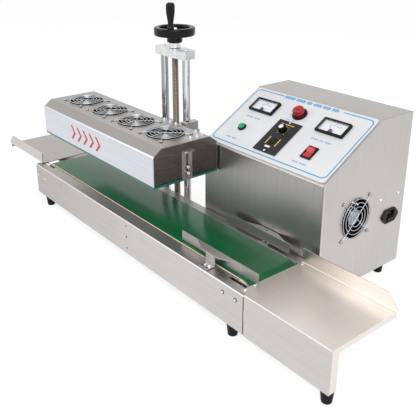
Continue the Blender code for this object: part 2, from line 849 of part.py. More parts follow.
def head_shell():
    first, second, *rest = head_outline()
    path = [first, *reversed(rest), second]
    shell = folded_sheet("head_shell", path, HEAD_X0, HEAD_X1, steel("head"))
    cut(shell, *fan_openings("head_fan", head_fan_places(), "Z"))


def head_end(name, x, side):
    outline = inset(head_outline(), SHEET + 2 * SEAT)
    end = plate(name, outline, SHEET, material("head_end_steel", (0.20, 0.19, 0.18), 0.4, 1.0), axis="X")
    return place(end, (x - side * (SHEET / 2 + SEAT), 0, 0))


def gauge_foot_z():
    return HEAD_Z + GAUGE_LIFT


def head_ends():
    head_end("head_end_left", HEAD_X0, -1)
    end = head_end("head_end_right", HEAD_X1, 1)
    face = SEAT + GAUGE_T + SEAT
    for number in range(2):
        z = gauge_foot_z() + GAUGE_SLOT_LOW + STUD_REST + STUD_PITCH * number
        stud = rod(f"stud_{number}", STUD_R, -SHEET, face + STUD_HEAD_T / 2, axis="X", steps=12)
        head = rod(f"stud_head_{number}", STUD_HEAD_R, face, face + STUD_HEAD_T, axis="X", steps=12)
        join(end, place(stud, (HEAD_X1, BELT_Y, z)), place(head, (HEAD_X1, BELT_Y, z)))


def height_gauge():
    """A slotted strip on the end of the head, with a lip that shows the height of the bottle caps."""
    low = gauge_foot_z()
    x0 = HEAD_X1 + SEAT
    half = GAUGE_W / 2
    look = steel("gauge")
    strip = box("height_gauge", (0, -half, 0), (GAUGE_T, half, GAUGE_H), look)
    lip = plate("gauge_lip", rounded(2 * GAUGE_LIP, GAUGE_W, GAUGE_LIP * 0.45), GAUGE_T)
    place(lip, (x0 + GAUGE_T / 2, BELT_Y, low + GAUGE_H - GAUGE_T / 2 - LAP))
    under = (-2 * GAUGE_LIP, -GAUGE_W, GAUGE_H - CUT_REACH)
    behind = box("gauge_behind", under, (-LAP / 10, GAUGE_W, GAUGE_H + CUT_REACH))
    slot_l = GAUGE_SLOT_HIGH - GAUGE_SLOT_LOW
    opening = plate("gauge_slot", rounded(GAUGE_SLOT_W, slot_l, GAUGE_SLOT_W / 2 - 0.00001), 0.02, axis="X")
    where = (x0, BELT_Y, low)
    place(strip, where)
    place(behind, where)
    place(opening, (x0, BELT_Y, low + GAUGE_SLOT_LOW + slot_l / 2))
    join(strip, lip)
    cut(strip, behind, opening)


def head_board():
    half = HEAD_L / 2, HEAD_W / 2
    look = material("board_green", (0.01, 0.22, 0.16), 0.4)
    board = box("head_board", (-half[0], -half[1], 0), (half[0], half[1], BOARD_T), look, bevel=0.0006)
    place(board, (HEAD_X, BELT_Y, HEAD_Z))


def induction_coil():
    """A flat spiral of litz cable with two straight runs: each turn widens by one pitch."""
    points = []
    steps = 12
    for step in range(COIL_TURNS * steps + 1):
        angle = 2 * math.pi * (step + 0.5) / steps
        radius = COIL_INNER_R + COIL_PITCH * angle / (2 * math.pi)
        run = math.copysign(COIL_STRAIGHT / 2, math.cos(angle))
        points.append((run + radius * math.cos(angle), radius * math.sin(angle), 0))
    look = material("coil_copper", (0.45, 0.20, 0.08), 0.4, 0.8)
    coil = tube("induction_coil", points, COIL_WIRE_R, look)
    place(coil, (HEAD_X, BELT_Y, HEAD_Z + BOARD_T + SEAT + COIL_WIRE_R))


# ---------------------------------------------------------------- fans
def ring(name, radius, height):
    points = [(x, y, 0) for x, y in circle(radius, GUARD_STEPS)]
    return place(tube(name, points, GUARD_WIRE, cyclic=True), (0, 0, height))


def fan_housing():
    """Frame, strut cross, four long screws and the wire guard; z = 0 is the outer face of the sheet."""
    top = -SHEET - SEAT
    low = top - FAN_DEPTH
    half = FAN_SCREW_PITCH / 2
    strut_top = low + FAN_STRUT_T
    side = FAN_SIZE / 2
    frame = box("fan", (-side, -side, low), (side, side, top), dark_plastic("fan"))
    cut(frame, rod("fan_bore", FAN_BORE_R, low - CUT_REACH, CUT_REACH))
    join(frame, rod("fan_motor", FAN_HUB_R, low + LAP, strut_top, steps=16))
    reach = FAN_BORE_R + 0.001
    width = FAN_STRUT_W / 2
    join(frame, box("fan_strut_x", (-reach, -width, low + 3 * LAP), (reach, width, strut_top - 3 * LAP)))
    join(frame, box("fan_strut_y", (-width, -reach, low + 6 * LAP), (width, reach, strut_top - 6 * LAP)))
    for corner, (sx, sy) in enumerate(CORNERS):
        screw = rod(f"fan_screw_{corner}", FAN_SCREW_R, top - 0.006, GUARD_LIFT + 0.001, steps=8)
        eyelet = rod(f"fan_eyelet_{corner}", 2 * FAN_SCREW_R, SEAT, GUARD_LIFT + 0.0005, steps=10)
        where = (sx * half, sy * half, 0)
        join(frame, place(screw, where), place(eyelet, where))
    for number, side in enumerate((1, -1)):
        wire = tube(f"fan_wire_{number}", [(-half, -side * half, 0), (half, side * half, 0)], GUARD_WIRE)
        join(frame, place(wire, (0, 0, GUARD_LIFT - 0.00063 - 0.00025 * number)))
    for number, radius in enumerate(GUARD_RINGS):
        join(frame, ring(f"fan_ring_{number}", radius, GUARD_LIFT))
    return frame


def fan_rotor():
    """A hub with tilted blades, turning about z between the strut cross and the sheet."""
    low = -SHEET - SEAT - FAN_DEPTH + FAN_STRUT_T + FAN_SCREW_GAP
    high = -SHEET - 0.003
    middle = (low + high) / 2
    hub = rod("rotor", FAN_HUB_R - 0.001, low, high, dark_plastic("rotor"), steps=20)
    for number in range(FAN_BLADES):
        inner = (FAN_HUB_R - 0.003, -FAN_BLADE_W / 2, -FAN_BLADE_T / 2)
        blade = box(f"blade_{number}", inner, (FAN_BORE_R - 0.0015, FAN_BLADE_W / 2, FAN_BLADE_T / 2))
        blade.data.transform(Matrix.Rotation(FAN_BLADE_TILT, 4, "X"))
        join(hub, place(blade, (0, 0, middle), (0, 0, 2 * math.pi * number / FAN_BLADES)))
    return hub


def fans():
    places = head_fan_places()
    side = (CAB_X1, CAB_Y0 + SIDE_FAN_Y, SIDE_FAN_Z)
    housings = (fan_housing(), "head_fan", "cabinet_fan")
    rotors = (fan_rotor(), "head_rotor", "cabinet_rotor")
    for first, name, last in (housings, rotors):
        *_, extra = copies(first, name, [*places, side])
        extra.name = last
        extra.rotation_euler = ALONG["X"]


# ---------------------------------------------------------------- column, carriage and lead screw
def rod_bores(name, low, high):
    """Cutters for the two guide rods, in world heights."""
    tools = []
    for number, side in enumerate((-1, 1)):
        tool = rod(f"{name}_rod_bore_{number}", ROD_R + ROD_FIT, low, high)
        tools.append(place(tool, (COLUMN_X + side * ROD_PITCH / 2, COLUMN_Y, 0)))
    return tools


def screw_bore(name, radius, low, high):
    return place(rod(name + "_screw_bore", radius, low, high), (COLUMN_X, COLUMN_Y, 0))


def column():
    look = material("column_aluminium", (0.80, 0.81, 0.82), 0.35, 1.0)
    pocket = COLUMN_FOOT_Z + COLUMN_FOOT_FLOOR
    high = COLUMN_FOOT_Z + COLUMN_FOOT_H
    low_y = SEAT - COLUMN_BACK
    low = (-CAP_L / 2, low_y, COLUMN_FOOT_Z)
    base = box("column_foot", low, (CAP_L / 2, CAP_W / 2, high), look, bevel=0.001)
    place(base, (COLUMN_X, COLUMN_Y, 0))
    over = high + CUT_REACH
    cut(base, *rod_bores("foot", pocket, over), screw_bore("foot", SCREW_R + RUNNING, pocket, over))

    cap = plate("column_cap", rounded(CAP_L, CAP_W, CAP_CORNER), CAP_H, look)
    place(cap, (COLUMN_X, COLUMN_Y, CAP_TOP - CAP_H / 2))
    under = CAP_TOP - CAP_H - CUT_REACH
    over = CAP_TOP + CUT_REACH
    cut(cap, *rod_bores("cap", under, CAP_TOP - CAP_SKIN), screw_bore("cap", SCREW_R + SEAT, under, over))

    chrome = material("rod_chrome", (0.75, 0.76, 0.78), 0.12, 1.0)
    for name, side in (("rod_left", -1), ("rod_right", 1)):
        bar = rod(name, ROD_R, pocket + SEAT, CAP_TOP - CAP_SKIN - SEAT, chrome)
        place(bar, (COLUMN_X + side * ROD_PITCH / 2, COLUMN_Y, 0))


def lead_screw():
    foot = COLUMN_FOOT_Z + COLUMN_FOOT_FLOOR + SEAT
    journal = HUB_BORE_R - SEAT
    tip = HUB_Z + JOURNAL_L
    profile = [
        (0, tip),
        (journal, tip),
        (journal, HUB_Z),
        (COLLAR_R, HUB_Z),
        (COLLAR_R, CAP_TOP + SEAT),
        (SCREW_R, CAP_TOP + SEAT),
        (SCREW_R, foot),
        (0, foot),
    ]
    screw = turned("lead_screw", profile, material("screw_bronze", (0.42, 0.28, 0.16), 0.35, 1.0))
    place(screw, (COLUMN_X, COLUMN_Y, 0))


def carriage():
    front = HEAD_Y1 + SEAT - COLUMN_Y
    low = CARRIAGE_TOP - CARRIAGE_H
    look = material("carriage_aluminium", (0.62, 0.62, 0.62), 0.4, 1.0)
    half = CARRIAGE_L / 2
    body = box("head_carriage", (-half, front, low), (half, CARRIAGE_BACK, CARRIAGE_TOP), look, bevel=0.001)
    place(body, (COLUMN_X, COLUMN_Y, 0))
    low -= CUT_REACH
    high = CARRIAGE_TOP + CUT_REACH
    cut(body, *rod_bores("carriage", low, high), screw_bore("carriage", SCREW_R + RUNNING, low, high))


def crank_place():
    radius = WHEEL_R - WHEEL_RIM_W / 2
    return radius * math.cos(CRANK_ANGLE), radius * math.sin(CRANK_ANGLE)


def handwheel():
    """Rim, spokes and hub in one moulding, with the steel spindle of the crank handle."""
    inner = WHEEL_R - WHEEL_RIM_W
    top = RIM_Z + WHEEL_RIM_H
    edge = RIM_EDGE
    profile = [
        (inner + edge, top),
        (WHEEL_R - edge, top),
        (WHEEL_R, top - edge),
        (WHEEL_R, RIM_Z + edge),
        (WHEEL_R - edge, RIM_Z),
        (inner + edge, RIM_Z),
        (inner, RIM_Z + edge),
        (inner, top - edge),
    ]
    wheel = turned("handwheel", profile, dark_plastic("wheel"), steps=32, closed=True)
    hub_low = HUB_Z + SEAT
    hub = rod("wheel_hub", HUB_R, hub_low, HUB_Z + HUB_H)
    for number in range(SPOKE_COUNT):
        low = (HUB_R - 0.004, -SPOKE_W / 2, 0)
        spoke = box(f"spoke_{number}", low, (inner + edge, SPOKE_W / 2, SPOKE_H))
        angle = CRANK_ANGLE + 2 * math.pi * number / SPOKE_COUNT
        join(hub, place(spoke, (0, 0, RIM_Z + 0.001), (0, 0, angle)))
    cut(hub, rod("wheel_bore", HUB_BORE_R, HUB_Z - CUT_REACH, HUB_Z + JOURNAL_L + RIM_EDGE / 2))
    spindle = rod("wheel_spindle", CRANK_SPINDLE_R, RIM_Z + 0.006, top + CRANK_H - 0.0065, steps=12)
    join(wheel, bake(hub), place(spindle, (*crank_place(), 0)))
    place(bake(wheel), (COLUMN_X, COLUMN_Y, 0))


def crank_handle():
    bore = CRANK_SPINDLE_R + SEAT
    profile = [
        (0, CRANK_H),
        (0.005, CRANK_H),
        (0.008, CRANK_H - 0.0015),
        (CRANK_TOP_R, CRANK_H - 0.005),
        (CRANK_TOP_R, CRANK_H - 0.014),
        (0.0068, 0.018),
        (CRANK_NECK_R, 0.007),
        (CRANK_NECK_R + 0.0012, 0.004),
        (CRANK_NECK_R + 0.0012, SEAT),
        (bore, SEAT),
        (bore, CRANK_H - 0.006),
        (0, CRANK_H - 0.006),
    ]
    handle = turned("crank_handle", profile, dark_plastic("crank"), steps=20)
    dx, dy = crank_place()
    place(handle, (COLUMN_X + dx, COLUMN_Y + dy, RIM_Z + WHEEL_RIM_H))


# ---------------------------------------------------------------- control cabinet
def cabinet_chassis():
    """The two side walls and the floor that joins them."""
    outline = [
        (CAB_Y0, CAB_Z),
        (CAB_Y1, CAB_Z),
        (CAB_Y1, CAB_TOP),
        (CAB_Y0 + CAB_SLOPE_D, CAB_TOP),
        (CAB_Y0, CAB_FRONT_TOP),
    ]
    look = steel("cabinet")
    right = place(plate("cabinet_chassis", outline, SHEET, look, axis="X"), (CAB_X1 - SHEET / 2, 0, 0))
    left = place(plate("chassis_left", outline, SHEET, axis="X"), (CAB_X0 + SHEET / 2, 0, 0))
    thin = 0.0002
    low = (CAB_X0 + thin, CAB_Y0 + thin, CAB_Z + thin)
    floor = box("chassis_floor", low, (CAB_X1 - thin, CAB_Y1 - thin, CAB_Z + SHEET))
    join(right, floor, left)
    cut(right, *fan_openings("cabinet_fan", [(CAB_X1, CAB_Y0 + SIDE_FAN_Y, SIDE_FAN_Z)], "X"))
    opening = (2 * CUT_REACH, INLET_CAN[0] + 2 * CUT_GAP, INLET_CAN[1] + 2 * CUT_GAP)
    cut(right, block("inlet_opening", opening, (CAB_X1, CAB_Y0 + INLET_Y, INLET_Z)))


def slope_frame():
    """The frame of the sloping panel: x to the right, y up the slope, z out of it, from its lower left."""
    frame = bpy.data.objects.new("slope_frame", None)
    PARTS.objects.link(frame)
    return place(frame, (CAB_X0, CAB_Y0, CAB_FRONT_TOP), (SLOPE_ANGLE, 0, 0))


def cabinet_cover(slope):
    low = CAB_Z + SHEET + SEAT
    path = [
        (CAB_Y0, low),
        (CAB_Y0, CAB_FRONT_TOP),
        (CAB_Y0 + CAB_SLOPE_D, CAB_TOP),
        (CAB_Y1, CAB_TOP),
        (CAB_Y1, low),
    ]
    inner = SHEET + SEAT
    cover = folded_sheet("cabinet_cover", path, CAB_X0 + inner, CAB_X1 - inner, steel("cabinet"))
    window = block("slope_window", (CAB_W - 2 * WINDOW_RIM, SLOPE_L - 2 * WINDOW_RIM, 0.02))
    place(window, (CAB_W / 2, SLOPE_L / 2, 0), parent=slope)
    shaft = rod("cabinet_shaft_hole", SHAFT_HOLE_R, -CUT_REACH, CUT_REACH, axis="Y")
    place(shaft, (ROLLER_X, CAB_Y0, ROLLER_Z))
    cut(cover, window, shaft)
    for number in range(VENT_COUNT):
        z = CAB_Z + VENT_LIFT + VENT_PITCH * number
        vent = plate(f"vent_{number}", rounded(VENT_L, VENT_W, VENT_W / 2 - 0.00001), 0.02)
        cut(cover, place(vent, ((CAB_X0 + CAB_X1) / 2, CAB_Y1, z), (math.pi / 2, 0, 0)))


def control_plate(slope):
    sheet = plate(
        "control_plate",
        rounded(CAB_W - 2 * PLATE_RIM, SLOPE_L - 2 * PLATE_RIM, PLATE_CORNER),
        PLATE_T,
        material("plate_grey", (0.72, 0.73, 0.74), 0.4, 0.3),
    )
    place(sheet, (CAB_W / 2, SLOPE_L / 2, SEAT + PLATE_T / 2), parent=slope)
    power_can = power_body()
    square = [
        (METER_CAN[:2], METER_PLACES[0]),
        (METER_CAN[:2], METER_PLACES[1]),
        (DRIVE_CAN[:2], DRIVE_UNIT_PLACE),
        (power_can, POWER_PLACE),
    ]
    round_holes = [(LAMP_BARREL_R + CUT_GAP, LAMP_PLACE), (BUTTON_R + SEAT, BUTTON_PLACE)]
    for number, ((width, height), (x, y)) in enumerate(square):
        tool = block(f"plate_cut_{number}", (width + 2 * CUT_GAP, height + 2 * CUT_GAP, 0.02))
        cut(sheet, place(tool, (x, y, 0), parent=slope))
    for number, (radius, (x, y)) in enumerate(round_holes):
        hole = rod(f"plate_hole_{number}", radius, -CUT_REACH, CUT_REACH)
        cut(sheet, place(hole, (x, y, 0), parent=slope))


def meter(name, where, slope):
    """A panel meter with a sunk dial, and its needle on a pivot at the foot of the dial."""
    look = dark_plastic("meter")
    bezel = box(name, (-METER_W / 2, -METER_H / 2, 0), (METER_W / 2, METER_H / 2, METER_PROUD), look)
    width, height, depth = METER_CAN
    can = box(name + "_can", (-width / 2, -height / 2, -depth), (width / 2, height / 2, METER_PROUD / 4))
    wide, high, deep = METER_DIAL
    low = (-wide / 2, -high / 2, METER_PROUD - deep)
    dial = box(name + "_dial", low, (wide / 2, high / 2, METER_PROUD + CUT_REACH))
    spot = (*where, ON_PLATE)
    for item in (bezel, can, dial):
        place(item, spot, parent=slope)
    cut(join(bezel, can), dial)
    pivot_y = -high / 2 + 0.0035
    red = material("needle_red", (0.6, 0.02, 0.02), 0.5)
    hub = rod(name + "_needle", NEEDLE_HUB_R, 0, 0.0012, red, steps=12)
    hand = box(name + "_hand", (-0.0004, 0, 0.0002), (0.0004, NEEDLE_L, 0.0008))
    spot = (where[0], where[1] + pivot_y, ON_PLATE + METER_PROUD - deep + SEAT)
    for item in (hub, hand):
        place(item, spot, (0, 0, NEEDLE_REST), slope)
    join(hub, hand)


def warning_lamp(slope):
    barrel = 0.028
    profile = [
        (0, LAMP_H),
        (0.006, LAMP_H - 0.0004),
        (0.0105, LAMP_H - 0.002),
        (LAMP_LENS_R, LAMP_H - 0.0055),
        (LAMP_LENS_R, 0.005),
        (LAMP_R, 0.0042),
        (LAMP_R, 0),
        (LAMP_BARREL_R, 0),
        (LAMP_BARREL_R, -barrel),
        (0, -barrel),
    ]
    lamp = turned("warning_lamp", profile, material("lamp_red", (0.55, 0.01, 0.02), 0.2))
    place(lamp, (*LAMP_PLACE, ON_PLATE), parent=slope)


def start_button(slope):
    """A plunger through the plate, held by a collar under it."""
    top = PLATE_TOP + BUTTON_H
    profile = [
        (0, top),
        (BUTTON_R - 0.001, top - 0.0003),
        (BUTTON_R, top - 0.0012),
        (BUTTON_R, 0),
        (BUTTON_R + 0.0025, 0),
        (BUTTON_R + 0.0025, -0.003),
        (BUTTON_R - 0.002, -0.003),
        (BUTTON_R - 0.002, -0.012),
        (0, -0.012),
    ]
    button = turned("start_button", profile, material("button_green", (0.0, 0.30, 0.12), 0.3))
    place(button, (*BUTTON_PLACE, 0), parent=slope)


def pocket(name, size):
    """A cutter for the space that a rocker swings in."""
    width, height, _ = size
    half = width / 2 + ROCKER_GAP, height / 2 + ROCKER_GAP
    return box(name, (-half[0], -half[1], -POCKET_DEPTH), (half[0], half[1], CUT_REACH))


def rocker(name, size, spot, look, slope):
    """A rocker key that tips about its own middle, parked with its upper end out."""
    key = block(name, size, look=look, bevel=0.0008)
    x, y, face = spot
    place(key, (x, y, face + ROCKER_PROUD - size[2] / 2), (ROCKER_TILT, 0, 0), slope)


def speed_unit(slope):
    width, height, thick = DRIVE_UNIT
    cx, cy = DRIVE_UNIT_PLACE
    grey = material("unit_grey", (0.05, 0.05, 0.055), 0.5)
    unit = box("speed_unit", (-width / 2, -height / 2, 0), (width / 2, height / 2, thick), grey)
    can_w, can_h, can_d = DRIVE_CAN
    can = box("speed_can", (-can_w / 2, -can_h / 2, -can_d), (can_w / 2, can_h / 2, thick / 2))
    bore = rod("knob_bore", KNOB_PIN_R + RUNNING, thick - KNOB_BORE_L, thick + CUT_REACH, steps=16)
    bore.data.transform(Matrix.Translation((0, KNOB_UP, 0)))
    well = pocket("run_well", RUN_ROCKER)
    well.data.transform(Matrix.Translation((0, -RUN_DOWN, thick)))
    for item in (unit, can, bore, well):
        place(item, (cx, cy, ON_PLATE), parent=slope)
    cut(join(unit, can), bore, well)

    face = ON_PLATE + thick
    profile = [
        (0, KNOB_H),
        (KNOB_R - 0.0015, KNOB_H),
        (KNOB_R - 0.0008, KNOB_H - 0.001),
        (KNOB_R, 0.003),
        (KNOB_R, SEAT),
        (KNOB_PIN_R, SEAT),
        (KNOB_PIN_R, -0.009),
        (0, -0.009),
    ]
    knob = turned("speed_knob", profile, dark_plastic("knob"))
    place(knob, (cx, cy + KNOB_UP, face), parent=slope)
    rocker("run_switch", RUN_ROCKER, (cx, cy - RUN_DOWN, face), dark_plastic("run_switch"), slope)


def power_body():
    """Width and height of the switch body behind the plate, one wall outside the pocket."""
    wall = 0.0013
    return tuple(size + 2 * ROCKER_GAP + 2 * wall for size in POWER_ROCKER[:2])


def power_switch(slope):
    width, height, thick = POWER_BEZEL
    look = dark_plastic("power_frame")
    frame = box("power_frame", (-width / 2, -height / 2, 0), (width / 2, height / 2, thick), look)
    can_w, can_h = power_body()
    can = box("power_can", (-can_w / 2, -can_h / 2, -0.018), (can_w / 2, can_h / 2, thick / 2))
    well = pocket("power_well", POWER_ROCKER)
    well.data.transform(Matrix.Translation((0, 0, thick)))
    for item in (frame, can, well):
        place(item, (*POWER_PLACE, ON_PLATE), parent=slope)
    cut(join(frame, can), well)
    red = material("power_red", (0.65, 0.01, 0.02), 0.25)
    rocker("power_switch", POWER_ROCKER, (*POWER_PLACE, ON_PLATE + thick), red, slope)


# ---------------------------------------------------------------- mains inlet and gear motor
def mains_inlet():
    """An appliance inlet with two screw ears, three pins in its socket and a fuse drawer below."""
    half_w, half_h = INLET_W / 2, INLET_H / 2
    ear = half_w + INLET_EAR
    outline = [
        (half_w, -half_h),
        (ear, -0.003),
        (ear, 0.003),
        (half_w, half_h),
        (-half_w, half_h),
        (-ear, 0.003),
        (-ear, -0.003),
        (-half_w, -half_h),
    ]
    where = (CAB_X1, CAB_Y0 + INLET_Y, INLET_Z)
    flange = plate("mains_inlet", outline, INLET_T, dark_plastic("inlet"), axis="X")
    flange.data.transform(Matrix.Translation((SEAT + INLET_T / 2, 0, 0)))
    can = box(
        "inlet_can",
        (-INLET_CAN[2], -INLET_CAN[0] / 2, -INLET_CAN[1] / 2),
        (SEAT + INLET_T / 2, INLET_CAN[0] / 2, INLET_CAN[1] / 2),
    )
    face = SEAT + INLET_T
    wide, high, deep = INLET_SOCKET
    socket_z = half_h - high / 2 - 0.002
    low, top = socket_z - high / 2, socket_z + high / 2
    well = box("inlet_well", (face - deep, -wide / 2, low), (face + CUT_REACH, wide / 2, top))
    drawer = box("fuse_drawer", (0.001, -0.009, 0.0015 - half_h), (face + 0.0015, 0.009, low - 0.002))
    pins = []
    for number, (y, z) in enumerate(((-0.0065, -0.0035), (0, -0.0022), (0.0065, -0.0035))):
        low = (face - deep - 0.001, y - 0.001, socket_z + z - 0.0018)
        pins.append(box(f"inlet_pin_{number}", low, (face - 0.003, y + 0.001, socket_z + z + 0.0018)))
    for item in (flange, can, well, drawer, *pins):
        place(item, where)
    cut(join(flange, can), well)
    join(flange, drawer, *pins)


def gear_motor():
    """A motor on the floor of the cabinet whose gear box holds the drive roller's shaft."""
    y0 = CAB_Y0 + SHEET + MOTOR_STANDOFF
    half = MOTOR_BOX / 2
    foot_z = CAB_Z + SHEET + SEAT
    box_z = foot_z + MOTOR_BOX_LIFT
    look = material("motor_aluminium", (0.45, 0.46, 0.47), 0.45, 0.8)
    body = box("gear_motor", (-half, 0, box_z), (half, MOTOR_BOX_D, box_z + MOTOR_BOX), look, bevel=0.002)
    case = rod("motor_case", MOTOR_R, MOTOR_BOX_D - SHEET, MOTOR_BOX_D + MOTOR_L, axis="Y")
    edge = half + MOTOR_FOOT_EDGE
    low = (-edge, MOTOR_FOOT_EDGE, foot_z)
    base = box("motor_base", low, (edge, MOTOR_BOX_D - MOTOR_FOOT_EDGE, foot_z + MOTOR_FOOT_T))
    bore = rod("motor_bore", SHAFT_R + RUNNING, -CUT_REACH, MOTOR_BORE_L, axis="Y")
    for item, z in ((body, 0), (base, 0), (case, box_z + half), (bore, ROLLER_Z)):
        place(item, (ROLLER_X, y0, z))
    cut(join(body, case, base), bore)


def main():
    base_front_panel()
    base_rear_panel()
    slider_bed()
    conveyor_belt()
    bearing_blocks()
    rollers()
    trays()
    feet()
    guides()
    head_shell()
    head_ends()
    height_gauge()
    head_board()
    induction_coil()
    fans()
    column()
    lead_screw()
    carriage()
    handwheel()
    crank_handle()
    cabinet_chassis()
    slope = slope_frame()
    cabinet_cover(slope)
    control_plate(slope)
    meter("current_meter", METER_PLACES[0], slope)
    meter("voltage_meter", METER_PLACES[1], slope)
    warning_lamp(slope)
    start_button(slope)
    speed_unit(slope)
    power_switch(slope)
    mains_inlet()
    gear_motor()


main()
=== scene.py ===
import json
import math

import bmesh
import bpy
import numpy as np
from bpy.props import FloatProperty, FloatVectorProperty, IntProperty, PointerProperty
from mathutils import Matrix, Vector


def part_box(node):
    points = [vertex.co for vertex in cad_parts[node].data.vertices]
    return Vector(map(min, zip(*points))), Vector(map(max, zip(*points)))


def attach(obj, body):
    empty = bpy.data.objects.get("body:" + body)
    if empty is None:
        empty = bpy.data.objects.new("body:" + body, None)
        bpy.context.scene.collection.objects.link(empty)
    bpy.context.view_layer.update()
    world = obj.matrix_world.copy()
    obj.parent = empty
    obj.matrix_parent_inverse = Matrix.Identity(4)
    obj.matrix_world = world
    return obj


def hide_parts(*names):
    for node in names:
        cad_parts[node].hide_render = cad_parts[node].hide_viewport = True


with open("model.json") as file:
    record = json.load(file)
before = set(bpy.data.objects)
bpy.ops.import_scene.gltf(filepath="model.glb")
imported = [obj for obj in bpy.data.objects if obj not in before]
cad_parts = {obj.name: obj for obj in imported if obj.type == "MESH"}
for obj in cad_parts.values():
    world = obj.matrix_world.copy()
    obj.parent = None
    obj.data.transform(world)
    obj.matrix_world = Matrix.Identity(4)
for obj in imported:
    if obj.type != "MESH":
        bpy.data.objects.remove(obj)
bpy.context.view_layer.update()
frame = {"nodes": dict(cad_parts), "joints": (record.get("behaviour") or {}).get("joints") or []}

bl_info = {
    "name": "Induction Cap Sealer Looks",
    "version": (1, 0, 0),
    "blender": (4, 5, 0),
    "location": "View3D > Sidebar > Sealer",
    "description": "Builds the finished pieces and finishes of a table-top induction cap sealer",
    "category": "Object",
}

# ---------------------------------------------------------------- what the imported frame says
NODES = frame["nodes"]
JOINTS = {joint["name"]: joint for joint in frame["joints"]}
X, Y, Z = np.eye(3)


def node_points(node):
    """The vertices of a CAD node as one array."""
    mesh = NODES[node].data
    points = np.empty(len(mesh.vertices) * 3)
    mesh.vertices.foreach_get("co", points)
    return points.reshape(-1, 3)


def node_box(node):
    low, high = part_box(node)
    return np.array(low), np.array(high)


def pivot(joint):
    return np.array(JOINTS[joint]["pos_m"])


# The control panel leans back: a runs to the right, b up the slope, and h out of the plate's face.
SLOPE_OUT = np.array(JOINTS["speed_knob_turn"]["axis"], float)
SLOPE_UP = np.cross(SLOPE_OUT, X)
SLOPE_AXES = np.stack([X, SLOPE_UP, SLOPE_OUT], axis=1)
PLATE_LOCAL = node_points("control_plate") @ SLOPE_AXES
PLATE_LOW, PLATE_HIGH = PLATE_LOCAL.min(0), PLATE_LOCAL.max(0)
SLOPE_ORIGIN = SLOPE_AXES @ np.array([PLATE_LOW[0], PLATE_LOW[1], PLATE_HIGH[2]])
PLATE_W, PLATE_L = (PLATE_HIGH - PLATE_LOW)[:2]
AXES_UP = np.stack([X, Y, Z], 1)
AXES_FRONT = np.stack([X, Z, -Y], 1)
AXES_RIGHT = np.stack([Y, Z, X], 1)
AXES_RIGHT_FAN = np.stack([-Z, Y, X], 1)
SINK = 0.00002  # how far a printed mark reaches into the face below it


def slope_box(node):
    """Lowest and highest (a, b, h) of a CAD node, from the plate's lower left corner and its face."""
    local = (node_points(node) - SLOPE_ORIGIN) @ SLOPE_AXES
    return local.min(0), local.max(0)


def middle_of(box):
    return (box[0] + box[1]) / 2


# ---------------------------------------------------------------- sizes and colours a user may change
def length(label, text, value):
    more = {"subtype": "DISTANCE", "unit": "LENGTH", "precision": 5}
    return FloatProperty(name=label, description=text, default=value, min=0.0, **more)


def colour(label, text, value):
    more = {"size": 3, "min": 0, "max": 1, "subtype": "COLOR"}
    return FloatVectorProperty(name=label, description=text, default=value, **more)


def number(label, text, value, kind=FloatProperty, **more):
    return kind(name=label, description=text, default=value, **more)


class SealerSizes(bpy.types.PropertyGroup):
    """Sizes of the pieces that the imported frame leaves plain."""

    wire: length("Guard wire", "Radius of the fan guard's wire", 0.0008)
    guard_lift: length("Guard lift", "Height of the guard rings above the sheet", 0.0030)
    screw_radius: length("Screw head", "Radius of the sheet metal screws", 0.0027)
    screw_height: length("Screw height", "Height of a screw head", 0.0013)
    thread_pitch: length("Thread pitch", "Rise of the lead screw for one turn", 0.003)
    thread_depth: length("Thread depth", "Depth of the lead screw's thread", 0.0009)
    belt_edge: length("Belt edge", "Radius of the belt's cut edge", 0.0005)
    border_width: length("Border width", "Width of the printed border on the panel", 0.0023)
    print_height: length("Print height", "Thickness of the printed marks", 0.00006)
    mark_height: length("Mark height", "Height of the direction marks on the head", 0.031)
    knob_flutes: number("Knob flutes", "Number of flutes round the speed knob", 18, IntProperty, min=3)
    lens_ribs: number("Lens ribs", "Number of ribs round the lamp's lens", 24, IntProperty, min=3)


class SealerColours(bpy.types.PropertyGroup):
    """Colours of the finishes, as linear values."""

    steel: colour("Steel", "Brushed stainless sheet", (0.585, 0.560, 0.548))
    # Head front is a lighter, bluer copy of the head's steel: painted light on the front face.
    head_front_lit: colour("Head front", "Front face of the sealing head", (0.66, 0.675, 0.725))
    # Head top is a darker copy of the same steel: painted shade on the top and back.
    head_top_shaded: colour("Head top", "Top and back of the sealing head", (0.46, 0.44, 0.425))
    # Tray steel is a lighter, warmer copy of the steel: painted highlight on the shelves.
    tray: colour("Tray steel", "Infeed and outfeed shelves", (0.86, 0.80, 0.745))
    dark_steel: colour("Dark steel", "End plates of the head", (0.17, 0.145, 0.135))
    belt: colour("Belt", "Top cover of the belt", (0.004, 0.098, 0.034))
    belt_edge: colour("Belt edge", "Cut edge of the belt", (0.95, 0.66, 0.54))
    board: colour("Board", "Laminate board under the head", (0.012, 0.17, 0.13))
    chrome: colour("Chrome", "Rods and fan guards", (0.80, 0.81, 0.83))
    aluminium: colour("Aluminium", "Column blocks", (0.72, 0.73, 0.75))
    bronze: colour("Bronze", "Lead screw", (0.26, 0.215, 0.175))
    black: colour("Black plastic", "Wheel, fans, meters and knobs", (0.005, 0.005, 0.0055))
    rubber: colour("Rubber", "Feet", (0.006, 0.006, 0.0065))
    plate: colour("Panel", "Enamelled control plate", (0.69, 0.70, 0.715))
    blue: colour("Blue print", "Border and labels of the panel", (0.035, 0.29, 0.58))
    yellow: colour("Yellow print", "Marks of the speed unit", (0.85, 0.50, 0.02))
    red: colour("Red", "Lamp and power switch", (0.60, 0.003, 0.010))
    shade: colour("Shaded steel", "Front of the cabinet and the tops of the flanges", (0.40, 0.39, 0.375))
    green: colour("Green", "Start button", (0.0, 0.30, 0.12))
    unit_grey: colour("Unit grey", "Face of the speed unit", (0.022, 0.022, 0.026))
    dial: colour("Dial", "White of the dials and labels", (0.80, 0.82, 0.86))


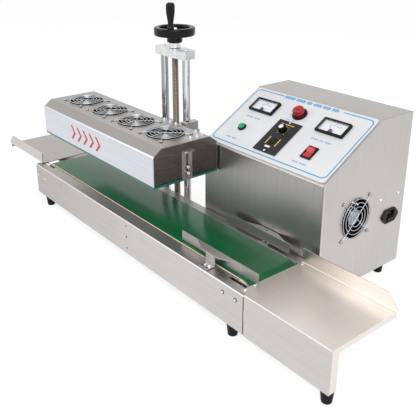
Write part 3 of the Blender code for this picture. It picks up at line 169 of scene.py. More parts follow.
class SealerStudio(bpy.types.PropertyGroup):
    """Level of the studio light."""

    ambient: number("Ambient", "Level of the light from all round", 0.62, min=0)
    key: number("Key", "Power of the large lamp", 62.0, min=0, unit="POWER")
    fill: number("Fill", "Power of the second lamp", 22.0, min=0, unit="POWER")


# ---------------------------------------------------------------- surfaces worked out as whole arrays
def shell(loops, ends=True, cyclic=False):
    """Quads between neighbouring loops of points, each loop closed on itself.

    Point (i, j) joins (i, j + 1), (i + 1, j + 1) and (i + 1, j), with j taken round the loop. With ends
    the first and last loop shrink to their own middle, which closes the surface; cyclic joins the last
    loop to the first instead.
    """
    loops = np.asarray(loops, float)
    if ends and not cyclic:
        first = np.broadcast_to(loops[0].mean(0), loops[:1].shape)
        last = np.broadcast_to(loops[-1].mean(0), loops[:1].shape)
        loops = np.concatenate([first, loops, last])
    rows, steps, _ = loops.shape
    row = np.arange(rows if cyclic else rows - 1)[:, None]
    step = np.arange(steps)[None, :]
    below, after = (row + 1) % rows, (step + 1) % steps
    corners = [row * steps + step, row * steps + after, below * steps + after, below * steps + step]
    return loops.reshape(-1, 3), np.stack(np.broadcast_arrays(*corners), -1).reshape(-1, 4)


def merged(shells):
    """Several surfaces as one: each one's faces are moved up by the number of points before it."""
    points = np.concatenate([part[0] for part in shells])
    starts = np.cumsum([0] + [len(part[0]) for part in shells[:-1]])
    return points, np.concatenate([part[1] + start for part, start in zip(shells, starts)])


def moved(part, origin=(0, 0, 0), axes=None):
    """A surface set down at an origin, with its own x, y and z along the columns of axes."""
    points, faces = part
    if axes is not None:
        points = points @ np.asarray(axes).T
    return points + np.asarray(origin), faces


def angles(steps):
    return 2 * math.pi * np.arange(steps) / steps


def spin(t):
    """The turn by t about z."""
    return np.array([[math.cos(t), -math.sin(t), 0], [math.sin(t), math.cos(t), 0], [0, 0, 1]])


def at(outline, z):
    """An outline of (x, y) points, or of (x, y) arrays, at one height."""
    return np.column_stack([outline, np.full(len(outline), z)])


def rings(radius, t, z):
    """Loops of points at radius (an array of rows and steps), angle t and height z."""
    height = np.broadcast_to(z, radius.shape)
    return np.stack([radius * np.cos(t), radius * np.sin(t), height], -1)


def turned(profile, steps=48, flutes=0, depth=0.0, ends=True, cyclic=False):
    """A profile of (radius, height) turned about z: x = r cos t, y = r sin t, z = height.

    With flutes the radius is r (1 - depth (1 + cos(flutes t)) / 2). The profile runs from the lower end up.
    """
    radius, height = np.asarray(profile, float).T[..., None]
    t = angles(steps)
    return shell(rings(radius * (1 - depth * (1 + np.cos(flutes * t)) / 2), t, height), ends, cyclic)


def rounded(width, height, corner, steps=6):
    """A rectangle's outline with round corners: a quarter circle about each corner's centre."""
    quarter = np.linspace(0, math.pi / 2, steps + 1)
    t = (quarter[None, :] + np.arange(4)[:, None] * math.pi / 2).ravel()
    signs = np.repeat([[1, 1], [-1, 1], [-1, -1], [1, -1]], steps + 1, axis=0)
    centre = signs * [width / 2 - corner, height / 2 - corner]
    return centre + corner * np.stack([np.cos(t), np.sin(t)], -1)


def slab(outline, low, high, edge=0.0003, centre=(0, 0)):
    """An outline raised from low to high, with both edges eased: the end loops shrink to the middle.

    Each loop is centre + k (outline), with k = 1 up the side and 1 - edge / reach at both ends.
    """
    outline = np.asarray(outline, float)
    middle = outline.mean(0)
    reach = np.abs(outline - middle).max(0)
    shrink = middle + (outline - middle) * (1 - edge / reach)
    heights = [(shrink, low), (outline, low + edge), (outline, high - edge), (shrink, high)]
    return shell([at(loop + np.asarray(centre), z) for loop, z in heights])


def wire(path, radius, sides=8, cyclic=False, up=(0, 0, 1)):
    """A round wire along a path: each point carries the circle p + r (cos t s + sin t u).

    u is the path's upward direction and s the one square to it and to the run of the path.
    """
    path = np.asarray(path, float)
    if cyclic:
        run = np.roll(path, -1, 0) - np.roll(path, 1, 0)
    else:
        run = np.gradient(path, axis=0)
    run /= np.linalg.norm(run, axis=1, keepdims=True)
    side = np.cross(run, up)
    side /= np.linalg.norm(side, axis=1, keepdims=True)
    rise = np.cross(side, run)
    t = angles(sides)[None, :, None]
    loops = path[:, None] + radius * (np.cos(t) * side[:, None] + np.sin(t) * rise[:, None])
    return shell(loops[:, ::-1], not cyclic, cyclic)


def circle_path(radius, height=0.0, steps=64):
    t = angles(steps)
    return at(radius * np.column_stack([np.cos(t), np.sin(t)]), height)


def band(path, width, low, high, cyclic=False):
    """A flat printed line along a path of (a, b) points: the path moved half a width to each side.

    The four corners of its section are (+w/2, low), (+w/2, high), (-w/2, high) and (-w/2, low).
    """
    path = np.asarray(path, float)
    run = np.roll(path, -1, 0) - np.roll(path, 1, 0) if cyclic else np.gradient(path, axis=0)
    run /= np.linalg.norm(run, axis=1, keepdims=True)
    side = np.column_stack([run[:, 1], -run[:, 0]]) * width / 2
    corners = [(side, low), (side, high), (-side, high), (-side, low)]
    loops = np.stack([at(path + s, z) for s, z in corners], 1)
    return shell(loops, not cyclic, cyclic)


def dashes(places, low, high):
    """Small printed rectangles: one block for each row of (a, b, width, height)."""
    edge = (high - low) * 0.3
    outlines = [(rounded(w, h, min(w, h) * 0.3, 2), (a, b)) for a, b, w, h in places]
    return merged([slab(outline, low, high, edge, centre) for outline, centre in outlines])


def word_row(start, middle, height, words, gap=0.0030, stroke=0.0017, pitch=0.0028):
    """A row of even printed strokes in groups, in place of a line of words."""
    places = []
    for count in words:
        number = np.arange(count)
        tall = height * (0.72 + 0.28 * ((number * 5 + count) % 3 == 0))
        spots = start + pitch * number + stroke / 2
        places += [(spot, middle, stroke, rise) for spot, rise in zip(spots, tall)]
        start += pitch * count + gap
    return places


def screw_head(radius, height, slots=2, steps=32, rows=10):
    """A pan head whose top is z = h (1 - 0.4 r^2) less a recess along one or two arms.

    An arm is the product of two smooth steps, across its width and along its length. The last rows go
    straight down to the sheet.
    """
    r, t = np.linspace(0.001, 1, rows)[::-1, None], angles(steps)[None, :]
    x, y = r * np.cos(t), r * np.sin(t)

    def arm(across, along, reach):
        return np.clip((0.2 - np.abs(across)) / 0.08, 0, 1) * np.clip((reach - np.abs(along)) / 0.1, 0, 1)

    recess = arm(x, y, 0.62 if slots == 2 else 1.2)
    if slots == 2:
        recess = np.maximum(recess, arm(y, x, 0.62))
    top = height * (1 - 0.4 * r**2 - 0.45 * recess)
    loops = np.stack([x * radius, y * radius, np.broadcast_to(top, x.shape)], -1)
    foot = loops[:1] * [1, 1, 0] - [0, 0, 0.0002]
    return shell(np.concatenate([foot, loops]))


def screws(spots, axes, slots=2, scale=1.0):
    """Screw heads at a list of spots on one face, each turned a little further than the last."""
    sizes = bpy.context.scene.sealer_sizes
    head = screw_head(sizes.screw_radius * scale, sizes.screw_height * scale, slots)
    return [moved(head, spot, axes @ spin(0.7 + 1.9 * number)) for number, spot in enumerate(spots)]


def build(name, parts, finish, body, slot, stands_for=()):
    """Puts surfaces into one mesh, closes poles, faces them outwards and fixes the piece to its body."""
    points, faces = merged(parts)
    mesh = bpy.data.meshes.new(name)
    mesh.from_pydata(points.tolist(), [], faces.tolist())
    shape = bmesh.new()
    shape.from_mesh(mesh)
    bmesh.ops.remove_doubles(shape, verts=shape.verts, dist=1e-7)
    bmesh.ops.dissolve_degenerate(shape, edges=shape.edges, dist=1e-8)
    bmesh.ops.recalc_face_normals(shape, faces=shape.faces)
    shape.to_mesh(mesh)
    shape.free()
    mesh.shade_smooth()
    mesh.set_sharp_from_angle(angle=math.radians(35))
    mesh.materials.append(finish)
    piece = bpy.data.objects.new(name, mesh)
    bpy.context.scene.collection.objects.link(piece)
    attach(piece, body)
    if stands_for:
        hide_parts(*stands_for)
    return piece


def build_on_slope(name, parts, *rest):
    """build() for surfaces that are given in the panel's own (a, b, h)."""
    return build(name, [moved(part, SLOPE_ORIGIN, SLOPE_AXES) for part in parts], *rest)


# ---------------------------------------------------------------- finishes
class Finish:
    """A material with its shader and small helpers that wire patterns in Object coordinates to it."""

    def __init__(self, name, base, roughness, metallic=0.0, **plain):
        self.material = bpy.data.materials.new(name)
        self.material.use_nodes = True
        self.tree = self.material.node_tree
        self.shader = self.tree.nodes["Principled BSDF"]
        self.base = np.array(base[:3], float)
        values = {"Base Color": (*base[:3], 1), "Roughness": roughness, "Metallic": metallic, **plain}
        for socket, value in values.items():
            self.shader.inputs[socket].default_value = value

    def add(self, kind, values, **settings):
        node = self.tree.nodes.new("ShaderNode" + kind)
        for key, value in settings.items():
            setattr(node, key, value)
        for socket, value in values.items():
            if isinstance(value, bpy.types.NodeSocket):
                self.tree.links.new(value, node.inputs[socket])
            else:
                node.inputs[socket].default_value = value
        return node

    def place(self, scale=(1, 1, 1)):
        start = self.add("TexCoord", {}).outputs["Object"]
        values = {"Vector": start, "Scale": scale}
        return self.add("Mapping", values).outputs["Vector"]

    def axis(self, letter):
        return self.add("SeparateXYZ", {"Vector": self.place()}).outputs[letter]

    def noise(self, scale, stretch=(1, 1, 1), detail=3.0):
        values = {"Vector": self.place(stretch), "Scale": scale, "Detail": detail}
        return self.add("TexNoise", values).outputs["Fac"]

    def wave(self, direction, scale, stretch=(1, 1, 1), **more):
        values = {"Vector": self.place(stretch), "Scale": scale, **more}
        return self.add("TexWave", values, bands_direction=direction).outputs["Fac"]

    def span(self, value, low, high, start=0.35, stop=0.65):
        values = {"Value": value, "From Min": start, "From Max": stop, "To Min": low, "To Max": high}
        return self.add("MapRange", values).outputs["Result"]

    def sum(self, first, second, operation="ADD"):
        return self.add("Math", {0: first, 1: second}, operation=operation).outputs[0]

    def mix(self, share, first, second):
        values = {0: share}
        for socket, tone in ((6, first), (7, second)):
            values[socket] = tone if isinstance(tone, bpy.types.NodeSocket) else (*np.clip(tone, 0, 1), 1)
        return self.add("Mix", values, data_type="RGBA").outputs[2]

    def join(self, value, socket):
        self.tree.links.new(value, self.shader.inputs[socket])

    def roughen(self, *shares):
        """Roughness as the sum of noises, each given as (noise, low, high)."""
        total = None
        for share in shares:
            part = self.span(*share)
            total = part if total is None else self.sum(total, part)
        self.join(total, "Roughness")

    def bump(self, height, strength, distance):
        values = {"Height": height, "Strength": strength, "Distance": distance}
        self.join(self.add("Bump", values).outputs["Normal"], "Normal")


GRAIN = {"X": (9, 800, 800), "Y": (800, 9, 800), "Z": (800, 800, 9)}


def brushed(name, base, along="X", roughness=0.36, painted_light_zones=()):
    """Sheet metal with a fine grain along one axis, faint clouds and hand marks.

    A zone is (axis, start, stop, tone), a band of painted light or shade: its tone is full where the
    coordinate has reached stop.
    """
    finish = Finish(name, base, roughness, 1.0)
    grain = finish.noise(1.0, GRAIN[along], 4.0)
    cloud = finish.noise(6.0, detail=2.0)
    marks = finish.noise(38.0, detail=5.0)
    tone = finish.mix(finish.span(cloud, 0, 1), finish.base * 0.93, finish.base)
    for axis, start, stop, other in painted_light_zones:
        share = finish.span(finish.axis(axis), 0, 1, start, stop)
        tone = finish.mix(share, tone, np.array(other[:3]))
    tone_shift = finish.add("HueSaturation", {"Color": tone, "Value": 0.9}).outputs["Color"]
    finish.join(finish.mix(finish.span(grain, 0.0, 0.7), tone, tone_shift), "Base Color")
    rough = (grain, roughness - 0.04, roughness + 0.04)
    finish.roughen(rough, (cloud, -0.03, 0.03), (marks, 0.0, 0.05, 0.55, 0.7))
    finish.bump(grain, 0.05, 0.00003)
    return finish.material


def polished(name, base, roughness=0.1):
    """Chromed or ground metal: nearly even, with faint drawing marks and dust."""
    finish = Finish(name, base, roughness, 1.0)
    dust = finish.noise(90.0, detail=4.0)
    lines = finish.noise(1.0, (300, 300, 1500), 2.0)
    finish.join(finish.mix(finish.span(dust, 0, 1), finish.base * 0.93, finish.base), "Base Color")
    finish.roughen((dust, roughness, roughness + 0.06), (lines, -0.02, 0.03))
    finish.bump(lines, 0.05, 0.00003)
    return finish.material


def reflection_streaked(name, base, roughness=0.12):
    """Ground rod: long streaks along z, from dark to bright, a painted reflection of dark and bright
    surroundings.
    """
    finish = Finish(name, base, roughness, 1.0)
    reflection_streak = finish.noise(1.0, (150, 150, 1.5), 2.0)
    fine = finish.noise(1.0, (900, 900, 6), 3.0)
    # Painted reflection: dark and bright bands down the rod.
    tone = finish.mix(finish.span(reflection_streak, 0, 1, 0.4, 0.58), finish.base * 0.32, finish.base)
    finish.join(finish.mix(finish.span(fine, 0, 0.4), tone, finish.base * 0.6), "Base Color")
    finish.roughen((fine, roughness - 0.03, roughness + 0.08))
    finish.bump(fine, 0.05, 0.00003)
    return finish.material


def milled(name, base, roughness=0.32):
    """Machined aluminium or iron: crossed tool marks and fine grain."""
    finish = Finish(name, base, roughness, 1.0)
    tool = finish.noise(1.0, (60, 900, 60), 2.0)
    grain = finish.noise(700.0, detail=3.0)
    finish.join(finish.mix(finish.span(tool, 0, 0.5), finish.base, finish.base * 0.82), "Base Color")
    finish.roughen((tool, roughness - 0.05, roughness + 0.06), (grain, 0, 0.05))
    finish.bump(tool, 0.1, 0.00005)
    return finish.material


def moulded(name, base, roughness=0.35, grain_size=1400.0, strength=0.12, shine=0.16):
    """Moulded plastic: a fine spark-eroded grain, slow tone changes and dust that dulls it."""
    finish = Finish(name, base, roughness, 0.0, **{"Specular IOR Level": shine})
    grain = finish.noise(grain_size, detail=2.0)
    cloud = finish.noise(28.0, detail=4.0)
    light = finish.base * 1.3 + 0.001
    finish.join(finish.mix(finish.span(cloud, 0, 0.6), finish.base, light), "Base Color")
    finish.roughen((grain, roughness - 0.05, roughness + 0.05), (cloud, 0, 0.07))
    finish.bump(grain, strength, 0.00006)
    return finish.material


def enamelled(name, base, roughness=0.32):
    """Powder coat or screen print: a slight orange peel and faint unevenness."""
    finish = Finish(name, base, roughness, 0.0, **{"Coat Weight": 0.15, "Coat Roughness": 0.2})
    peel = finish.noise(420.0, detail=1.0)
    cloud = finish.noise(14.0, detail=3.0)
    finish.join(finish.mix(finish.span(cloud, 0, 1), finish.base * 0.95, finish.base), "Base Color")
    finish.roughen((peel, roughness - 0.04, roughness + 0.05))
    finish.bump(peel, 0.08, 0.00008)
    return finish.material


def clear(name, base, alpha, roughness=0.03):
    """A clear moulded window with faint wiping marks."""
    finish = Finish(name, base, roughness, 0.0, **{"Alpha": alpha, "IOR": 1.49})
    wipe = finish.noise(1.0, (900, 60, 60), 3.0)
    finish.roughen((wipe, roughness, roughness + 0.06))
    return finish.material


def lens(name, base):
    """Coloured clear plastic: some light goes through, the rest scatters, under a glossy skin."""
    plain = {"Transmission Weight": 0.12, "IOR": 1.45, "Coat Weight": 0.2, "Coat Roughness": 0.03}
    finish = Finish(name, base, 0.12, 0.0, **plain)
    cloud = finish.noise(160.0, detail=2.0)
    finish.join(finish.mix(finish.span(cloud, 0, 1), finish.base * 0.8, finish.base), "Base Color")
    finish.roughen((cloud, 0.09, 0.16))
    return finish.material


def shade(nodes, finish):
    """Gives CAD nodes a finish by their material slots."""
    for node in nodes:
        for slot in NODES[node].material_slots:
            slot.material = finish


# ---------------------------------------------------------------- operators
class Maker(bpy.types.Operator):
    """What every step shares: the scene's sizes and colours."""

    bl_options = {"REGISTER", "UNDO"}

    @property
    def sizes(self):
        return bpy.context.scene.sealer_sizes

    @property
    def colours(self):
        return bpy.context.scene.sealer_colours

    def execute(self, context):
        self.make()
        return {"FINISHED"}


class SEALER_OT_stage(Maker):
    """Sets the camera, the white studio and the pale floor"""

    bl_idname = "sealer.stage"
    bl_label = "Studio and camera"

    LENS, SHIFT = 54.632, -0.11538
    CAMERA_AT = (1.00877, -0.78557, 0.65339)
    LOOK_DOWN, LOOK_ROUND = 20.67, 50.824  # degrees
    FLOOR_RINGS = (0.0, 1.5, 4.0, 12.0, 30.0)
    FLOOR_DROP, FLOOR_GLOW = -0.0002, 0.78

    def make(self):
        scene = bpy.context.scene
        optics = bpy.data.cameras.new("camera")
        optics.lens, optics.sensor_width, optics.shift_y = self.LENS, 36.0, self.SHIFT
        optics.clip_start = 0.01
        camera = bpy.data.objects.new("camera", optics)
        scene.collection.objects.link(camera)
        camera.location = self.CAMERA_AT
        camera.rotation_euler = (math.radians(90 - self.LOOK_DOWN), 0, math.radians(self.LOOK_ROUND))
        scene.camera = camera
        scene.view_settings.view_transform = "Standard"
        self.light_world(scene)
        self.add_lamp("key_lamp", scene.sealer_studio.key, 2.2, (2.1, -1.5, 2.3))
        self.add_lamp("fill_lamp", scene.sealer_studio.fill, 2.0, (-1.7, -2.3, 1.7))
        self.lay_floor(scene)

    def light_world(self, scene):
        """White for the eye and for what metal and glass show, and a plain level for everything else."""
        world = bpy.data.worlds.new("studio")
        scene.world = world
        world.use_nodes = True
        tree = world.node_tree
        background = tree.nodes["Background"]
        path = tree.nodes.new("ShaderNodeLightPath")
        seen = self.any_ray(tree, path)
        level = tree.nodes.new("ShaderNodeMapRange")
        level.inputs["To Min"].default_value = scene.sealer_studio.ambient
        level.inputs["To Max"].default_value = 1.0
        tree.links.new(seen, level.inputs["Value"])
        tree.links.new(level.outputs["Result"], background.inputs["Strength"])
        background.inputs["Color"].default_value = (1, 1, 1, 1)

    def any_ray(self, tree, path):
        """One where the ray comes from the camera, a gloss or a clear piece, and nought elsewhere."""
        total = None
        for kind in ("Is Camera Ray", "Is Glossy Ray", "Is Transmission Ray"):
            if total is None:
                total = path.outputs[kind]
                continue
            highest = tree.nodes.new("ShaderNodeMath")
            highest.operation = "MAXIMUM"
            tree.links.new(total, highest.inputs[0])
            tree.links.new(path.outputs[kind], highest.inputs[1])
            total = highest.outputs[0]
        return total

    def add_lamp(self, name, power, size, place):
        data = bpy.data.lights.new(name, "AREA")
        data.energy, data.size = power, size
        lamp = bpy.data.objects.new(name, data)
        lamp.location = place
        aim = Vector((0, 0, 0.15)) - Vector(place)
        lamp.rotation_euler = aim.to_track_quat("-Z", "Y").to_euler()
        bpy.context.scene.collection.objects.link(lamp)

    def lay_floor(self, scene):
        """A round pale floor: the sum of a soft diffuse white, which takes the shadow, and a white glow."""
        finish = Finish("floor_white", (0.30, 0.30, 0.30), 0.9, 0.0, **{"Specular IOR Level": 0.0})
        speck = finish.noise(3.0, detail=2.0)
        finish.join(finish.mix(speck, (0.29, 0.29, 0.29), (0.31, 0.31, 0.31)), "Base Color")
        finish.shader.inputs["Emission Color"].default_value = (1, 1, 1, 1)
        path = finish.tree.nodes.new("ShaderNodeLightPath")
        seen = self.any_ray(finish.tree, path)
        finish.join(finish.span(seen, 0.0, self.FLOOR_GLOW, 0, 1), "Emission Strength")
        t = angles(96)
        reach = np.outer(self.FLOOR_RINGS, np.ones_like(t))
        points, faces = shell(rings(reach, t, self.FLOOR_DROP), ends=False)
        mesh = bpy.data.meshes.new("floor")
        mesh.from_pydata(points.tolist(), [], faces[:, ::-1].tolist())
        mesh.validate()
        mesh.materials.append(finish.material)
        floor = bpy.data.objects.new("floor", mesh)
        scene.collection.objects.link(floor)


class SEALER_OT_steelwork(Maker):
    """Gives the base, trays, guides, head and cabinet their brushed sheet steel, with painted shade and
    highlights
    """

    bl_idname = "sealer.steelwork"
    bl_label = "Sheet steel"

    def make(self):
        tint = self.colours
        steel, tray, top = (np.array(tone) for tone in (tint.steel, tint.tray, tint.head_top_shaded))
        painted_shade_tone = tint.shade
        low, high = node_box("base_front_panel")
        # Painted shade: the base darkens towards its left end, and the very top of its flange takes the
        # shaded steel; painted highlight: a lighter band just below that top.
        painted_light_zones = [("X", 0.05, low[0], steel * 0.76)]
        painted_light_zones.append(("Z", high[2] - 0.0034, high[2] - 0.0026, steel * 1.15))
        painted_light_zones.append(("Z", high[2] - 0.0006, high[2] - 0.0003, painted_shade_tone))
        shade(["base_front_panel", "base_rear_panel"], brushed("base_brushed_lit_and_shaded", steel, painted_light_zones=painted_light_zones))
        shade(["slider_bed"], brushed("bed_brushed", steel, "X", 0.4))
        low = node_box("outfeed_tray")[0]
        # Painted shade: the outfeed tray darkens towards its left end; its front lip keeps the plain steel
        # without the tray's painted highlight.
        painted_light_zones = [("X", low[0] + 0.12, low[0] + 0.01, tray * 0.6)]
        painted_light_zones.append(("Y", low[1] + 0.0016, low[1] + 0.0012, steel))
        shade(["outfeed_tray"], brushed("outfeed_brushed_lit_and_shaded", tray, painted_light_zones=painted_light_zones))
        # Painted shade: the infeed tray is a darker copy of the tray steel; its front lip keeps the plain
        # steel.
        front = node_box("infeed_tray")[0][1]
        painted_light_zones = [("Y", front + 0.0016, front + 0.0012, steel)]
        shade(["infeed_tray"], brushed("infeed_brushed_shaded", tray * 0.55, painted_light_zones=painted_light_zones))
        # Guide steel is a darker copy of the steel: painted reflection of the dark belt.
        shade(["guide_front", "guide_rear"], brushed("guide_brushed_shaded", steel * 0.85, "Z"))
        shade(["height_gauge"], brushed("gauge_brushed", steel, "Z", 0.3))
        shade(["head_end_left", "head_end_right"], brushed("head_end_dark", tint.dark_steel, "Y", 0.3))
        low, high = node_box("head_shell")
        # Painted shade: the head steel darkens towards its left end and over the front chamfer; painted
        # light: the front face takes the lighter head front tone.
        painted_light_zones = [("X", 0.0, low[0], top * 0.78)]
        painted_light_zones.append(("Y", low[1] + 0.0192, low[1] + 0.0186, top * 0.8))
        painted_light_zones.append(("Y", low[1] + 0.0022, low[1] + 0.0014, tint.head_front_lit))
        shade(["head_shell"], brushed("head_brushed_lit_and_shaded", top, "X", 0.32, painted_light_zones))
        low, high = node_box("cabinet_cover")
        # Painted shade: the cabinet's top takes the darker head top tone and its front face the shaded
        # steel; painted highlight: a lighter band down the side next to the front edge.
        painted_light_zones = [("Z", high[2] - 0.0015, high[2] - 0.0011, top * 1.02)]
        painted_light_zones.append(("Y", low[1] + 0.0050, low[1] + 0.0036, steel * 1.18))
        painted_light_zones.append(("Y", low[1] + 0.0020, low[1] + 0.0016, painted_shade_tone))
        shade(["cabinet_chassis"], brushed("cabinet_wall_lit_and_shaded", steel, "Z", painted_light_zones=painted_light_zones))
        shade(["cabinet_cover"], brushed("cabinet_cover_lit_and_shaded", steel, "Z", painted_light_zones=painted_light_zones))


class SEALER_OT_belt(Maker):
    """Lays the belt with its eased cut edges round the two rollers"""

    bl_idname = "sealer.belt"
    bl_label = "Conveyor belt"

    THICKNESS = 0.002

    def make(self):
        low, high = node_box("conveyor_belt")
        middle, half = (low[1] + high[1]) / 2, (high[1] - low[1]) / 2
        axle_x, axle_z = pivot("drive_roller_spin")[[0, 2]]
        outer = high[2] - axle_z
        thick = outer - (high[0] - low[0] - 2 * abs(axle_x)) / 2 + self.THICKNESS
        section = rounded(2 * half, thick, self.sizes.belt_edge, 3)
        belt = shell(self.loops(section, axle_x, axle_z, outer - thick / 2, middle), cyclic=True)
        build("belt", [belt], self.belt_finish(middle, half), "root", "belt_pvc", ["conveyor_belt"])

    def loops(self, section, axle_x, axle_z, radius, middle):
        """The section carried round a racetrack: two half circles about the roller axes, joined straight.

        A section point (y, h) goes to the roller's centre plus (radius + h) along the direction t.
        """
        half = np.linspace(-math.pi / 2, math.pi / 2, 40)
        t = np.concatenate([half, half + math.pi])[:, None]
        centre = np.repeat([axle_x, -axle_x], len(half))[:, None]
        reach = radius + section[None, :, 1]
        y = np.broadcast_to(middle + section[None, :, 0], (len(t), len(section)))
        return np.stack([centre + reach * np.cos(t), y, axle_z + reach * np.sin(t)], -1)

    def belt_finish(self, middle, half):
        """Glossy cover with a faint pebble; the cut edge shows the pale fabric."""
        tint = self.colours
        finish = Finish("belt_cover", tint.belt, 0.16, 0.0, **{"Specular IOR Level": 0.32})
        cloud = finish.noise(9.0, (1, 4, 4), 3.0)
        pebble = finish.noise(900.0, detail=1.0)
        rub = finish.noise(1.0, (3, 90, 30), 3.0)
        base = finish.mix(finish.span(cloud, 0, 1), finish.base * 0.85, finish.base * 1.1)
        # Lighter towards the left end of the belt.
        tone_shift = finish.span(finish.axis("X"), 0.0, 1.0, 0.25, -0.37)
        base = finish.mix(tone_shift, base, finish.base * 1.3 + 0.012)
        away = finish.sum(finish.axis("Y"), middle, "SUBTRACT")
        edge = finish.span(finish.sum(away, 0.0, "ABSOLUTE"), 0, 1, half - 0.0009, half - 0.0004)
        finish.join(finish.mix(edge, base, np.array(tint.belt_edge)), "Base Color")
        finish.roughen((rub, 0.15, 0.21), (pebble, 0, 0.03))
        finish.bump(pebble, 0.03, 0.00004)
        return finish.material


class SEALER_OT_feet(Maker):
    """Turns the tapered rubber feet"""

    bl_idname = "sealer.feet"
    bl_label = "Rubber feet"

    def make(self):
        finish = moulded("foot_rubber_black", self.colours.rubber, 0.5, 900.0, 0.25)
        for node in sorted(name for name in NODES if name.startswith("foot_")):
            low, high = node_box(node)
            wide, tall = (high[0] - low[0]) / 2, high[2] - low[2]
            profile = [(0.0052, 0.0012), (0.006, 0), (0.0078, 0), (0.0085, 0.0009), (0.0088, 0.003)]
            profile += [(wide - 0.0009, tall - 0.003), (wide - 0.0001, tall - 0.0022)]
            profile += [(wide, tall - 0.0007), (wide - 0.0008, tall)]
            foot = moved(turned(profile, 40), (*((low + high) / 2)[:2], 0))
            build(node + "_tapered", [foot], finish, "root", "foot_rubber", [node])


class SEALER_OT_screws(Maker):
    """Puts the screw heads and rivets on the sheet metal, with dark washers and a dark seam strip as
    painted shadow
    """

    bl_idname = "sealer.screws"
    bl_label = "Sheet metal screws"

    # name, finish, scale, height off the sheet, and spots (x from the base's left end, z from the floor)
    FRONT = (
        ("base_screws", "bright", 0.9, 0.0004, ((0.7047, 0.0817), (0.7362, 0.0817))),
        ("base_end_screws", "bright", 0.9, 0.0, ((0.0094, 0.0730), (0.0435, 0.0715))),
        ("base_flush_rivets", "flush", 0.6, 0.0, ((0.1267, 0.0860), (0.1314, 0.0360))),
        ("base_rivets", "dark", 0.6, 0.0, ((0.4084, 0.0874), (0.4084, 0.0630), (0.4084, 0.0383))),
    )
    # x from the base's left end, y from its front
    TRAY = ((0.7475, 0.0110), (0.7475, 0.0330), (0.7490, 0.1430), (0.0070, 0.0110), (0.0080, 0.1420))
    # y from the cabinet's front, z from the floor
    SIDE = ((0.1620, 0.1770), (0.2160, 0.1770))
    WASHER = ((0.0010, -0.0002), (0.0038, -0.0002), (0.0038, 0.0003), (0.0010, 0.0005))
    GUIDE_WASHER = ((0.0010, -0.0006), (0.0042, -0.0006), (0.0042, 0.0002), (0.0010, 0.0002))
    SHEET, TRAY_TOP = 0.0015, 0.0018  # sheet thickness; a tray's top above the base's

    def make(self):
        finishes = {
            # The dark finish serves the dark rivets and, on the washers, painted shadow.
            "dark": brushed("screw_dark_and_washer_shadow", (0.06, 0.055, 0.05), "X", 0.35),
            "bright": polished("screw_bright", self.colours.chrome, 0.2),
            "flush": brushed("rivet_flush", self.colours.shade),
        }
        bright = finishes["bright"]
        left, front, _ = node_box("base_front_panel")[0]
        for name, finish, scale, lift, places in self.FRONT:
            # A raised screw sits on a dark washer: painted shadow round its head.
            if lift:
                washer = turned(self.WASHER, 32)
                washers = [moved(washer, (left + x, front, z), AXES_FRONT) for x, z in places]
                build("base_shadow_washers", washers, finishes["dark"], "root", "base_steel")
            spots = [(left + x, front - lift, z) for x, z in places]
            build(name, screws(spots, AXES_FRONT, scale=scale), finishes[finish], "root", "base_steel")
        top = node_box("base_front_panel")[1][2] + self.TRAY_TOP
        spots = [(left + x, front + y, top) for x, y in self.TRAY]
        build("tray_screws", screws(spots, AXES_UP), bright, "root", "tray_steel")
        right, front = node_box("cabinet_chassis")[1][0], node_box("cabinet_cover")[0][1]
        spots = [(right, front + y, z) for y, z in self.SIDE]
        build("cabinet_screws", screws(spots, AXES_RIGHT), bright, "root", "cabinet_steel")
        self.paint_seam_shadow()
        self.fix_guides(bright)

    def paint_seam_shadow(self):
        """A dark strip in the upright gap between the base and the outfeed tray's skirt: painted shadow in
        the gap.
        """
        low, high = node_box("base_front_panel")
        strip = slab(rounded(0.0016, high[2] - low[2] - 0.004, 0.0006, 3), -0.0001, 0.0002, 0.00008)
        place = (high[0] + 0.00015, low[1], (low[2] + high[2]) / 2)
        # The strip is black: painted shadow in the gap.
        rubber = moulded("seam_shadow_black", self.colours.rubber, 0.5)
        build("tray_seam_shadow_strip", [moved(strip, place, AXES_FRONT)], rubber, "root", "tray_steel")

    def fix_guides(self, finish):
        """Two slotted screws with washers hold each guide's bracket, and move with it."""
        for node in ("guide_front", "guide_rear"):
            points = node_points(node)
            floor = points[:, 2].min() + self.SHEET
            foot = points[points[:, 2] < floor + 0.0001]
            (x0, y0), (x1, y1) = foot[:, :2].min(0), foot[:, :2].max(0)
            spots = [(x0 + (x1 - x0) * share, (y0 + y1) / 2, floor + 0.0006) for share in (0.25, 0.75)]
            washer = turned(self.GUIDE_WASHER, 32)
            parts = screws(spots, AXES_UP, slots=1) + [moved(washer, spot) for spot in spots]
            build(node + "_screws", parts, finish, node, "guide_steel")


